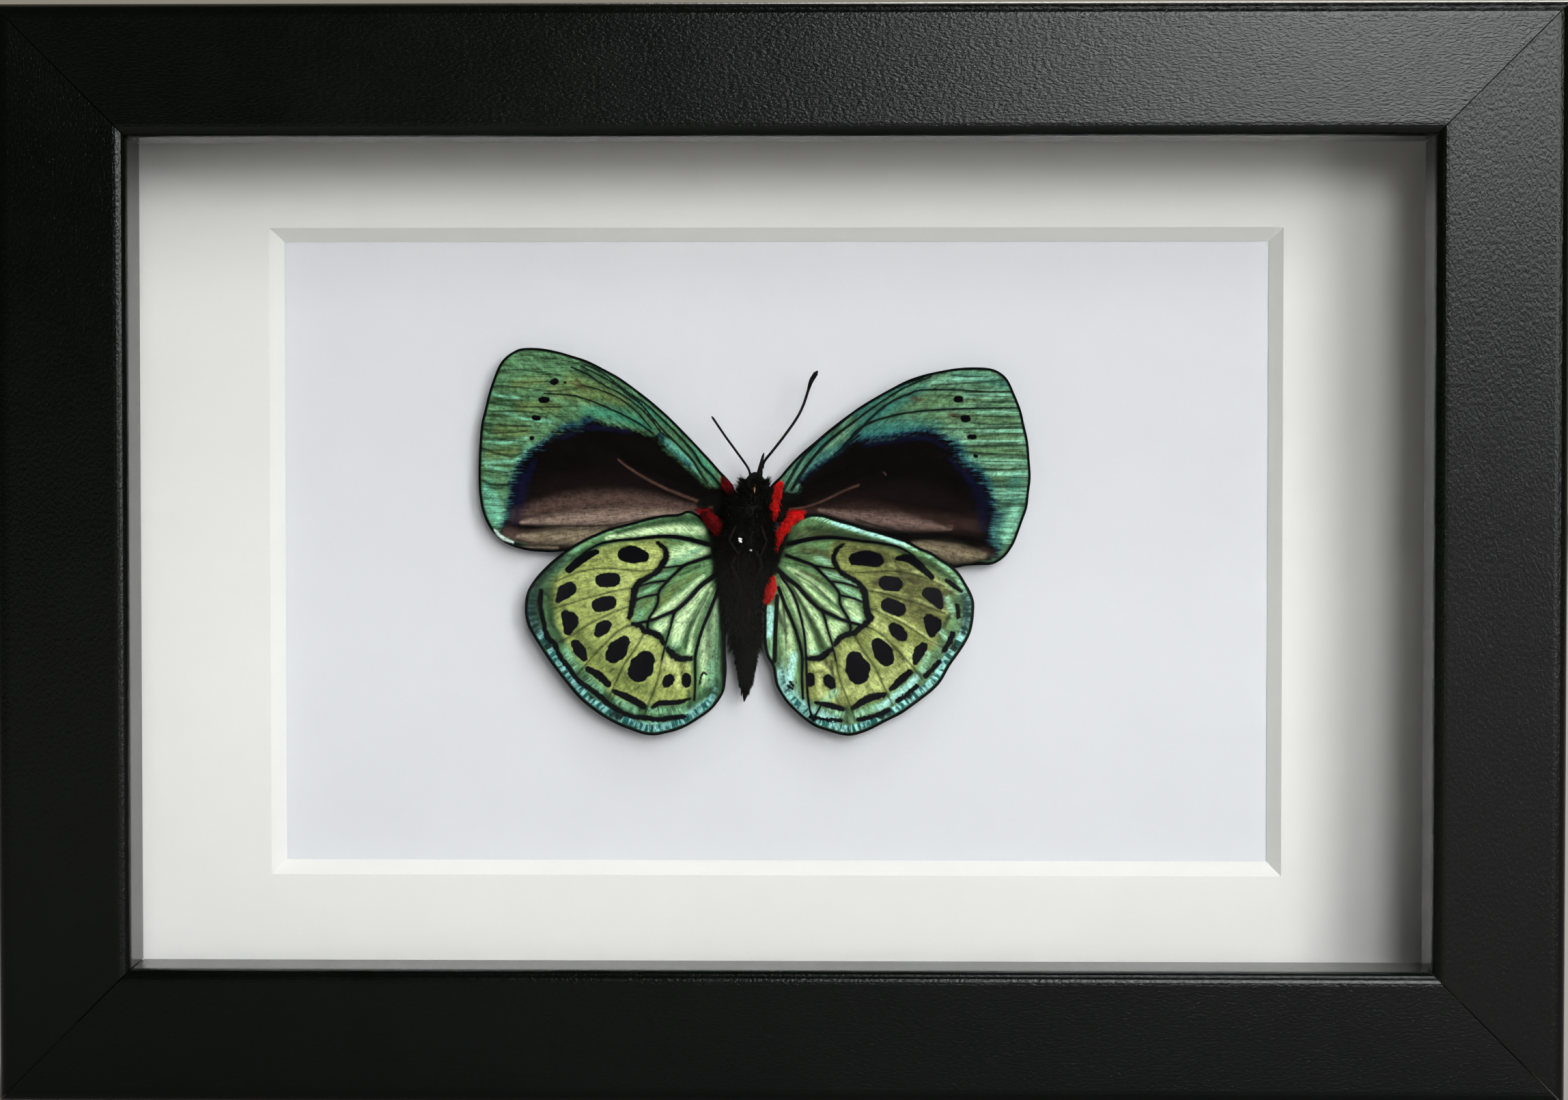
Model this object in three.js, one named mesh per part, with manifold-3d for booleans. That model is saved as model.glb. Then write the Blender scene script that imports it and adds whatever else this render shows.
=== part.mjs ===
// A butterfly specimen shown from its underside in a small black box frame.
// Millimetres. X runs to the viewer's right, Z is up and the glass faces -Y. The origin is the middle of the
// bottom rail's underside, so the frame stands on Z = 0 and its depth is centred on Y = 0.

import * as THREE from "three";
import { mergeVertices } from "three/addons/utils/BufferGeometryUtils.js";
import Module from "manifold-3d";

const wasm = await Module();
wasm.setup();

// Frame moulding
const SIGHT_WIDTH = 140; // opening between the middles of the rounded sight edges
const SIGHT_HEIGHT = 90;
const FACE = 13.5; // width of a rail's front face
const DEPTH = 32;
const LIP_DEPTH = 7; // from the front face to the glass
const LIP_REACH = 0.9; // how far the lip stands in past the sight edge, at the glass
const LIP_DRAFT = 0.15; // how much of that its flat inner wall gains from front to back
const LIP_ROUND = 1.3; // depth of the rounding between the front face and that wall
const REBATE = 5; // width of the rebate behind the sight edge
const INNER_ARRIS = 0.7; // how far the same rounding reaches over the face
const OUTER_ARRIS = 1.6;
const BACK_ARRIS = 0.5;
const MITRE_GAP = 0.08; // each rail stops this much short of the mitre, measured along it
const CENTRE_Z = FACE + SIGHT_HEIGHT / 2;

// What the rebate holds, front to back; each layer stands LAYER_GAP clear of the one before it
const LAYER_GAP = 0.1;
const SIDE_GAP = 0.3; // around every sheet in the rebate
const GLASS = 2;
const SPACER_DEPTH = 11.8;
const SPACER_WIDTH = 3;
const MAT = 1.5;
const CARD = 1.5;
const BOARD = 3;
const SHEET_WIDTH = SIGHT_WIDTH + 2 * REBATE - 2 * SIDE_GAP;
const SHEET_HEIGHT = SIGHT_HEIGHT + 2 * REBATE - 2 * SIDE_GAP;

const FRONT_Y = -DEPTH / 2;
const GLASS_Y = FRONT_Y + LIP_DEPTH + LAYER_GAP;
const SPACER_Y = GLASS_Y + GLASS + LAYER_GAP;
const MAT_Y = SPACER_Y + SPACER_DEPTH + LAYER_GAP;
const CARD_Y = MAT_Y + MAT + LAYER_GAP;
const BOARD_Y = CARD_Y + CARD + LAYER_GAP;
const RECESS_Y = BOARD_Y + BOARD + LAYER_GAP; // first free plane behind the board

// Window in the mat: cut at 45 degrees, so its front edge stands out by the mat's thickness
const WINDOW_WIDTH = 112.5;
const WINDOW_HEIGHT = 72;
const WINDOW_OFFSET_X = -0.9;
const WINDOW_OFFSET_Z = -0.4;

// Bendable steel tabs that hold the board: half of each is driven into the rebate's wall
const TAB_LENGTH = 12;
const TAB_WIDTH = 6;
const TAB_THICKNESS = 0.5;
const TAB_BURIED = 4;
const TAB_CLEARANCE = 0.2;

// Saw-tooth hanger and its screws
const HANGER_LENGTH = 44;
const HANGER_HEIGHT = 9;
const HANGER_THICKNESS = 0.8;
const HANGER_FOOT = 8;
const HANGER_RAMP = 2;
const HANGER_STAND_OFF = 1.5;
const HANGER_Z = CENTRE_Z + 34;
const TOOTH_PITCH = 2.4;
const TOOTH_DEPTH = 1.3;
const TOOTH_COUNT = 9;
const SCREW_HEAD_RADIUS = 2;
const SCREW_HEAD_HEIGHT = 0.9;
const SCREW_SHANK_RADIUS = 0.9;
const SCREW_LENGTH = 2.6;
const SCREW_HOLE_RADIUS = 1.15;

// Specimen: its own axes start on the body's axis, level with the hindwings
const SPECIMEN_X = -3.8;
const SPECIMEN_Y = FRONT_Y + 19.5;
const SPECIMEN_Z = CENTRE_Z - 5.79;
const WING_THICKNESS = 0.35;
const FOREWING_Y = 0.8; // rear face of each wing plate, in the specimen's axes
const HINDWING_Y = 0.2;
const SKIN_GAP = 0.15; // between the body and what grows from it or holds it
const BODY_SIDES = 24;
const ANTENNA_RADIUS = 0.13;
const CLUB_RADIUS = 0.24;
const CLUB_LENGTH = 2.2;
const GLUE_RADIUS = 1.9;

// Wing outlines, [x, z] from the costal root round the tip and back along the inner margin
const FOREWING_LEFT = [
  [-1.4, 12.1], [-3.2, 14.5], [-6.8, 18.5], [-10.4, 21.8], [-14, 24.5], [-17.6, 26.4], [-21.2, 27.5],
  [-24.8, 27.8], [-26.6, 26.9], [-28, 24.8], [-29, 21.2], [-29.6, 17.2], [-29.7, 13], [-29.3, 9.8],
  [-28, 7.2], [-25.3, 5.7], [-21.2, 5.2], [-15, 6.2], [-9, 7.6], [-3.5, 8.4], [-0.5, 9.2],
];
const FOREWING_RIGHT = [
  [2.2, 11.9], [3.8, 13.9], [6.1, 16.4], [8.8, 18.8], [12.4, 21.5], [16, 23.6], [19.6, 25], [23.2, 25.7],
  [26.8, 25.7], [28.8, 24.5], [30.3, 21.2], [31.1, 17.6], [31.4, 13.6], [31, 10.2], [29.9, 7.1],
  [28.5, 4.8], [25.6, 3.9], [21, 3.7], [14, 5.4], [8, 7.2], [3.5, 8.4], [1, 9.2],
];
const HINDWING_LEFT = [
  [-3.2, 9.4], [-6.3, 10], [-10.9, 9.4], [-15.4, 8.1], [-19.9, 5.9], [-23.4, 2.6], [-24.5, -0.4],
  [-24.2, -2.9], [-22.2, -6.3], [-18.7, -10.7], [-14.6, -13.7], [-10.4, -14.9], [-6.9, -13.9],
  [-3.6, -11.4], [-2.5, -8.8], [-2.4, -5.4], [-2.5, -1], [-2.2, 4], [-1.5, 8.6],
];
const HINDWING_RIGHT = [
  [3.6, 9.2], [7.2, 9.7], [11.4, 8.7], [16, 7.3], [20.2, 5.5], [23.4, 3], [25, -0.1], [24.6, -3.5],
  [22.3, -7.2], [19.4, -10.7], [15.4, -13.3], [11.4, -14.9], [7.6, -14], [4.2, -11.2], [2.8, -8],
  [2, -6], [1.9, -1.2], [2.2, 4], [1.8, 8.6],
];

// Body, from the abdomen's tip to the top of the head: [z, half width, half depth, x, y of the axis]
const BODY_SECTIONS = [
  [-11.1, 0, 0, -0.45, 0.4], [-10.4, 0.42, 0.45, -0.42, 0.4], [-9.7, 0.72, 0.75, -0.35, 0.35],
  [-8.8, 1.06, 1.1, -0.3, 0.3], [-6.2, 1.5, 1.5, -0.1, 0.2], [-3, 1.8, 1.7, -0.2, 0],
  [0, 1.95, 1.9, -0.3, -0.2], [3, 2.3, 2.4, -0.1, -0.5], [6, 2.6, 2.7, 0.05, -0.7],
  [9, 2.4, 2.5, 0.25, -0.8], [11.3, 1.5, 1.6, 0.5, -0.9], [12.2, 1.35, 1.4, 0.6, -1.1],
  [13.3, 1.2, 1.2, 0.75, -1.2], [14, 0.6, 0.7, 0.85, -1.2], [14.2, 0, 0, 0.85, -1.2],
];

// Antennae as [x, y, z] from the head outwards; the right one keeps its club, the left one is broken short
const ANTENNA_LEFT = [
  [0.3, -2.6, 14], [-0.4, -2.9, 15.4], [-1.4, -2.9, 16.8], [-2.5, -2.7, 18.4], [-4, -2.3, 20.5],
];
const ANTENNA_RIGHT = [
  [1.6, -2.6, 14.8], [2.9, -2.9, 16.8], [4.2, -2.9, 18.5], [5.4, -2.7, 20.3], [6.2, -2.5, 22],
  [6.8, -2.3, 23.6], [7.5, -2.1, 25.2],
];

const BLACK_SATIN = { color: 0x17171a, roughness: 0.38 };
const finishes = {
  rail: BLACK_SATIN,
  glass: { color: 0xeef5f3, roughness: 0.05, transparent: true, opacity: 0.2 },
  spacer: { color: 0x1b1b1b, roughness: 0.8 },
  mat: { color: 0xe9e9e6, roughness: 0.85 },
  card: { color: 0xdcdfe4, roughness: 0.8 },
  board: { color: 0x7a5a3c, roughness: 0.8 },
  steel: { color: 0xb9bbbd, roughness: 0.35, metalness: 1 },
  body: { color: 0x14100e, roughness: 0.75 },
  forewing: { color: 0x4f7d5a, roughness: 0.5 },
  hindwing: { color: 0xa5b26a, roughness: 0.5 },
  antenna: { color: 0x0d0b0a, roughness: 0.6 },
  glue: { color: 0xd8d2bd, roughness: 0.3 },
};

function solidOf(geometry) {
  const bare = geometry.clone();
  bare.deleteAttribute("normal");
  bare.deleteAttribute("uv");
  const merged = mergeVertices(bare, 1e-4);
  return new wasm.Manifold(
    new wasm.Mesh({
      numProp: 3,
      vertProperties: new Float32Array(merged.attributes.position.array),
      triVerts: new Uint32Array(merged.index.array),
    }),
  );
}

function geometryOf(solid) {
  const { vertProperties, triVerts } = solid.getMesh();
  const geometry = new THREE.BufferGeometry();
  geometry.setAttribute("position", new THREE.BufferAttribute(vertProperties, 3));
  geometry.setIndex(new THREE.BufferAttribute(triVerts, 1));
  geometry.computeVertexNormals();
  return geometry;
}

function cut(geometry, ...cutters) {
  return geometryOf(cutters.reduce((solid, cutter) => solid.subtract(solidOf(cutter)), solidOf(geometry)));
}

function join(first, ...others) {
  return geometryOf(others.reduce((solid, other) => solid.add(solidOf(other)), solidOf(first)));
}

function piece(name, geometry, finish) {
  const mesh = new THREE.Mesh(geometry, new THREE.MeshStandardMaterial(finishes[finish]));
  mesh.name = name;
  return mesh;
}

// A shape drawn in X and Z, thick along Y, with its front face at frontY
function slab(shape, frontY, thickness, curveSegments = 8) {
  return new THREE.ExtrudeGeometry(shape, { depth: thickness, bevelEnabled: false, curveSegments })
    .rotateX(Math.PI / 2)
    .translate(0, frontY + thickness, 0);
}

function sheet(frontY, thickness) {
  return new THREE.BoxGeometry(SHEET_WIDTH, thickness, SHEET_HEIGHT).translate(0, frontY + thickness / 2, 0);
}

function rectangle(Path, width, height, x = 0, z = 0) {
  return new Path()
    .moveTo(x - width / 2, z - height / 2)
    .lineTo(x + width / 2, z - height / 2)
    .lineTo(x + width / 2, z + height / 2)
    .lineTo(x - width / 2, z + height / 2);
}

// Section of the moulding: X is the distance outwards from the sight edge, Y the depth from the front
function railSection() {
  return new THREE.Shape()
    .moveTo(INNER_ARRIS, 0)
    .lineTo(FACE - OUTER_ARRIS, 0)
    .quadraticCurveTo(FACE, 0, FACE, OUTER_ARRIS)
    .lineTo(FACE, DEPTH - BACK_ARRIS)
    .quadraticCurveTo(FACE, DEPTH, FACE - BACK_ARRIS, DEPTH)
    .lineTo(REBATE, DEPTH)
    .lineTo(REBATE, LIP_DEPTH)
    .lineTo(-LIP_REACH, LIP_DEPTH)
    .lineTo(LIP_DRAFT - LIP_REACH, LIP_ROUND)
    .quadraticCurveTo(LIP_DRAFT - LIP_REACH, 0, INNER_ARRIS, 0);
}

// One rail along X, its outside towards +Z from the sight edge at Z = 0, with both ends mitred
function railBar(sightLength) {
  const bar = new THREE.ExtrudeGeometry(railSection(), { depth: 1, bevelEnabled: false, curveSegments: 8 });
  const position = bar.attributes.position;
  for (let i = 0; i < position.count; i++) {
    const outwards = position.getX(i);
    const end = position.getZ(i) < 0.5 ? 1 : -1;
    const along = end * (sightLength / 2 + outwards - MITRE_GAP);
    position.setXYZ(i, along, FRONT_Y + position.getY(i), outwards);
  }
  return bar;
}

function tabSlot(x) {
  return new THREE.BoxGeometry(
    TAB_WIDTH + 2 * TAB_CLEARANCE,
    TAB_THICKNESS + 2 * TAB_CLEARANCE,
    2 * (TAB_BURIED + TAB_CLEARANCE),
  ).translate(x, RECESS_Y + TAB_THICKNESS / 2, REBATE);
}

function tab() {
  const radius = TAB_WIDTH / 2;
  const inner = REBATE + TAB_BURIED - TAB_LENGTH;
  const outline = new THREE.Shape()
    .moveTo(radius, REBATE + TAB_BURIED)
    .lineTo(-radius, REBATE + TAB_BURIED)
    .lineTo(-radius, inner + radius)
    .absarc(0, inner + radius, radius, Math.PI, 2 * Math.PI);
  return slab(outline, RECESS_Y, TAB_THICKNESS);
}

// One side of the frame: the rail, its spacer and the tabs in its rebate, turned about the frame's middle
function frameSide(side, angle, halfAcross, sightLength, spacerLength, tabPlaces) {
  const group = new THREE.Group();
  group.position.z = CENTRE_Z;
  group.rotation.y = angle;
  const rail = piece(`rail_${side}`, cut(railBar(sightLength), ...tabPlaces.map(tabSlot)), "rail");
  rail.position.z = halfAcross;
  group.add(rail);
  const spacer = new THREE.BoxGeometry(spacerLength, SPACER_DEPTH, SPACER_WIDTH);
  const strip = piece(`spacer_${side}`, spacer, "spacer");
  strip.position.set(0, SPACER_Y + SPACER_DEPTH / 2, halfAcross + REBATE - SIDE_GAP - SPACER_WIDTH / 2);
  group.add(strip);
  tabPlaces.forEach((x, i) => {
    const number = tabPlaces.length > 1 ? `_${i + 1}` : "";
    const one = piece(`tab_${side}${number}`, tab(), "steel");
    one.position.set(x, 0, halfAcross);
    group.add(one);
  });
  return group;
}

// The mat: the hole is drawn at its rear size, then its front edge is drawn out to make the bevel
function matBoard() {
  const outline = rectangle(THREE.Shape, SHEET_WIDTH, SHEET_HEIGHT);
  outline.holes.push(
    rectangle(THREE.Path, WINDOW_WIDTH - 2 * MAT, WINDOW_HEIGHT - 2 * MAT, WINDOW_OFFSET_X, WINDOW_OFFSET_Z),
  );
  const board = slab(outline, MAT_Y, MAT);
  const position = board.attributes.position;
  for (let i = 0; i < position.count; i++) {
    const x = position.getX(i);
    const z = position.getZ(i);
    const onWindow = Math.abs(x) < SHEET_WIDTH / 2 - 1 && Math.abs(z) < SHEET_HEIGHT / 2 - 1;
    if (onWindow && position.getY(i) < MAT_Y + MAT / 2) {
      position.setX(i, x + Math.sign(x) * MAT);
      position.setZ(i, z + Math.sign(z) * MAT);
    }
  }
  return board;
}

const screwPlaces = [-1, 1].map((side) => (side * (HANGER_LENGTH - HANGER_FOOT)) / 2);

function screwHole(x) {
  return new THREE.CylinderGeometry(SCREW_HOLE_RADIUS, SCREW_HOLE_RADIUS, 2 * SCREW_LENGTH, 16).translate(
    x,
    RECESS_Y,
    HANGER_Z - CENTRE_Z,
  );
}

// A strip bent up between its two feet, with teeth along the lower edge of the raised part
function hanger() {
  const half = HANGER_LENGTH / 2;
  const bend = half - HANGER_FOOT;
  const flat = bend - HANGER_RAMP;
  const line = [
    [-half, 0], [-bend, 0], [-flat, HANGER_STAND_OFF], [flat, HANGER_STAND_OFF], [bend, 0], [half, 0],
  ];
  const back = line.map(([x, y]) => new THREE.Vector2(x, y + HANGER_THICKNESS)).reverse();
  const section = new THREE.Shape([...line.map(([x, y]) => new THREE.Vector2(x, y)), ...back]);
  const strip = new THREE.ExtrudeGeometry(section, { depth: HANGER_HEIGHT, bevelEnabled: false }).translate(
    0,
    RECESS_Y,
    HANGER_Z - CENTRE_Z - HANGER_HEIGHT / 2,
  );
  const notches = Array.from({ length: TOOTH_COUNT }, (_, i) => {
    const x = (i - (TOOTH_COUNT - 1) / 2) * TOOTH_PITCH;
    const notch = new THREE.Shape()
      .moveTo(x - TOOTH_PITCH * 0.45, -1)
      .lineTo(x + TOOTH_PITCH * 0.45, -1)
      .lineTo(x, TOOTH_DEPTH);
    return slab(notch, RECESS_Y - 1, HANGER_STAND_OFF + HANGER_THICKNESS + 2).translate(
      0,
      0,
      HANGER_Z - CENTRE_Z - HANGER_HEIGHT / 2,
    );
  });
  return cut(strip, ...notches, ...screwPlaces.map(screwHole));
}

function screw(x) {
  const under = HANGER_THICKNESS + LAYER_GAP;
  const profile = [
    [0, under - SCREW_LENGTH], [SCREW_SHANK_RADIUS, under - SCREW_LENGTH], [SCREW_SHANK_RADIUS, under],
    [SCREW_HEAD_RADIUS, under], [SCREW_HEAD_RADIUS * 0.8, under + SCREW_HEAD_HEIGHT * 0.7],
    [0, under + SCREW_HEAD_HEIGHT],
  ].map(([r, y]) => new THREE.Vector2(r, y));
  return new THREE.LatheGeometry(profile, 16).translate(x, RECESS_Y, HANGER_Z - CENTRE_Z);
}

function wing(outline, rearY) {
  const [first, ...rest] = [...outline, outline[0]].map(([x, z]) => new THREE.Vector2(x, z));
  const shape = new THREE.Shape().moveTo(first.x, first.y);
  shape.splineThru(rest);
  return slab(shape, rearY - WING_THICKNESS, WING_THICKNESS, 2);
}

// The body is turned as a plain spindle, then each ring takes its own width, depth and place; grow fattens it
function bodySpindle(grow = 0) {
  const profile = BODY_SECTIONS.map(([z, halfWidth]) => new THREE.Vector2(halfWidth > 0 ? 1 : 0, z));
  const body = new THREE.LatheGeometry(profile, BODY_SIDES).rotateX(Math.PI / 2);
  const position = body.attributes.position;
  for (let i = 0; i < position.count; i++) {
    const ringZ = position.getZ(i);
    const section = BODY_SECTIONS.find(([z]) => Math.abs(z - ringZ) < 1e-3);
    const [z, halfWidth, halfDepth, x, y] = section;
    const end = halfWidth > 0 ? 0 : Math.sign(z) * grow;
    position.setXYZ(
      i,
      x + position.getX(i) * (halfWidth + grow),
      y + position.getY(i) * (halfDepth + grow),
      z + end,
    );
  }
  return body;
}

function hair(places, radius) {
  const path = new THREE.CatmullRomCurve3(places.map((p) => new THREE.Vector3(...p)));
  const round = new THREE.Shape().absarc(0, 0, radius, 0, 2 * Math.PI);
  return new THREE.ExtrudeGeometry(round, { extrudePath: path, steps: 16, curveSegments: 4 });
}

function antennaClub(places) {
  const tip = new THREE.Vector3(...places.at(-1));
  const along = tip.clone().sub(new THREE.Vector3(...places.at(-2))).normalize();
  return new THREE.SphereGeometry(1, 10, 8)
    .scale(CLUB_RADIUS, CLUB_LENGTH / 2, CLUB_RADIUS)
    .applyQuaternion(new THREE.Quaternion().setFromUnitVectors(new THREE.Vector3(0, 1, 0), along))
    .translate(tip.x, tip.y, tip.z);
}

function specimen() {
  const group = new THREE.Group();
  group.position.set(SPECIMEN_X, SPECIMEN_Y, SPECIMEN_Z);
  const clearance = bodySpindle(SKIN_GAP);
  const glue = new THREE.CylinderGeometry(GLUE_RADIUS, GLUE_RADIUS * 1.2, CARD_Y - SPECIMEN_Y, 20).translate(
    0,
    (CARD_Y - SPECIMEN_Y) / 2 - LAYER_GAP,
    5.5,
  );
  group.add(
    piece("butterfly_body", bodySpindle(), "body"),
    piece("forewing_left", cut(wing(FOREWING_LEFT, FOREWING_Y), clearance), "forewing"),
    piece("forewing_right", cut(wing(FOREWING_RIGHT, FOREWING_Y), clearance), "forewing"),
    piece("hindwing_left", cut(wing(HINDWING_LEFT, HINDWING_Y), clearance), "hindwing"),
    piece("hindwing_right", cut(wing(HINDWING_RIGHT, HINDWING_Y), clearance), "hindwing"),
    piece("antenna_left", cut(hair(ANTENNA_LEFT, ANTENNA_RADIUS), clearance), "antenna"),
    piece(
      "antenna_right",
      cut(join(hair(ANTENNA_RIGHT, ANTENNA_RADIUS), antennaClub(ANTENNA_RIGHT)), clearance),
      "antenna",
    ),
    piece("glue_dot", cut(glue, clearance), "glue"),
  );
  return group;
}

// Everything that lies flat in the rebate or on the back of the board, about the frame's middle
function layers() {
  const group = new THREE.Group();
  group.position.z = CENTRE_Z;
  group.add(
    piece("glass", sheet(GLASS_Y, GLASS), "glass"),
    piece("mat", matBoard(), "mat"),
    piece("backing_card", sheet(CARD_Y, CARD), "card"),
    piece("back_board", cut(sheet(BOARD_Y, BOARD), ...screwPlaces.map(screwHole)), "board"),
    piece("hanger", hanger(), "steel"),
    piece("hanger_screw_left", screw(screwPlaces[1]), "steel"),
    piece("hanger_screw_right", screw(screwPlaces[0]), "steel"),
  );
  return group;
}

const sideSpacer = SHEET_HEIGHT - 2 * (SPACER_WIDTH + SIDE_GAP);
const frame = new THREE.Group();
frame.add(
  frameSide("top", 0, SIGHT_HEIGHT / 2, SIGHT_WIDTH, SHEET_WIDTH, [-45, 45]),
  frameSide("bottom", Math.PI, SIGHT_HEIGHT / 2, SIGHT_WIDTH, SHEET_WIDTH, [-45, 45]),
  frameSide("right", Math.PI / 2, SIGHT_WIDTH / 2, SIGHT_HEIGHT, sideSpacer, [0]),
  frameSide("left", -Math.PI / 2, SIGHT_WIDTH / 2, SIGHT_HEIGHT, sideSpacer, [0]),
  layers(),
  specimen(),
);

export default frame;
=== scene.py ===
"""Looks for a small deep black frame that holds one set butterfly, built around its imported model."""

import logging
import math
from dataclasses import dataclass, field
from enum import Enum
from typing import Sequence, Union

import bmesh
import bpy
import numpy as np
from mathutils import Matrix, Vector
from mathutils.geometry import delaunay_2d_cdt


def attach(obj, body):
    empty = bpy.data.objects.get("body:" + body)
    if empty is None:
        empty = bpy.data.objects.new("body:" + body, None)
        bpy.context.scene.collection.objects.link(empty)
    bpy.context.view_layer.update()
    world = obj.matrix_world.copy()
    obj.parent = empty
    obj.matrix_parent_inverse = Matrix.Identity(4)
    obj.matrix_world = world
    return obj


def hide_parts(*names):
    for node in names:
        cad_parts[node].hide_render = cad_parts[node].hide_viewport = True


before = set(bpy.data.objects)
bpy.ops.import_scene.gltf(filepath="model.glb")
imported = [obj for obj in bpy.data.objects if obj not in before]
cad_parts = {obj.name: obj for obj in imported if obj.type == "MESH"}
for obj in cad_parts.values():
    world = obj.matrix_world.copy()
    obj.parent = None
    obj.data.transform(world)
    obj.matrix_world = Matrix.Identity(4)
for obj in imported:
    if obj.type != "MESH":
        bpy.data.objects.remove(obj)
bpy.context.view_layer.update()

MM = 0.001
MIDDLE = Vector((0, 0, 0.0585))  # of the frame
SPECIMEN = np.array([-3.8, 3.5, 52.71])  # the specimen's own zero, in mm in the frame
ROW_OF_TRIANGLES = 0.866  # a row's height in a sheet of equal triangles, for sides of 1
LOG = logging.getLogger("specimen")

Colour = tuple[float, float, float]
Pair = tuple[float, float]
Points = tuple[tuple[float, float, float], ...]


def srgb(red: float, green: float, blue: float) -> Colour:
    """Turns a 0 to 255 display colour into a linear one.

    Args:
        red, green, blue: the display values.

    Returns:
        The linear colour.
    """
    return tuple(
        c / 12.92 if c <= 0.04045 else ((c + 0.055) / 1.055) ** 2.4
        for c in (v / 255 for v in (red, green, blue))
    )


class Side(Enum):
    """Which side of the body, as the viewer sees it."""

    LEFT = "left"
    RIGHT = "right"


class Grain(Enum):
    """The way the brush marks run along a rail."""

    ACROSS = (1, 2, 2)
    UPRIGHT = (2, 2, 1)


# ---------------------------------------------------------------- shader nodes


class Val:
    """One value in a material's tree. Python's operators on it add Math nodes."""

    def __init__(self, tree: "Tree", socket: bpy.types.NodeSocket) -> None:
        """Wraps an output socket of a tree."""
        self.tree = tree
        self.socket = socket

    def __add__(self, other: "Num") -> "Val":
        """self + other."""
        return self.tree.math("ADD", self, other)

    def __radd__(self, other: "Num") -> "Val":
        """other + self."""
        return self.tree.math("ADD", other, self)

    def __sub__(self, other: "Num") -> "Val":
        """self - other."""
        return self.tree.math("SUBTRACT", self, other)

    def __rsub__(self, other: "Num") -> "Val":
        """other - self."""
        return self.tree.math("SUBTRACT", other, self)

    def __mul__(self, other: "Num") -> "Val":
        """self * other."""
        return self.tree.math("MULTIPLY", self, other)

    def __rmul__(self, other: "Num") -> "Val":
        """other * self."""
        return self.tree.math("MULTIPLY", other, self)

    def at_least(self, other: "Num") -> "Val":
        """The larger of the two."""
        return self.tree.math("MAXIMUM", self, other)

    def at_most(self, other: "Num") -> "Val":
        """The smaller of the two."""
        return self.tree.math("MINIMUM", self, other)

    def rise(self, low: float, high: float) -> "Val":
        """Climbs smoothly from 0 at low to 1 at high.

        Args:
            low: where the rise starts.
            high: where it ends.

        Returns:
            The value between 0 and 1.
        """
        return self.tree.value(
            "ShaderNodeMapRange",
            {"interpolation_type": "SMOOTHSTEP"},
            {"Value": self, "From Min": low, "From Max": high},
        )


Num = Union[Val, float, int]


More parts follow.
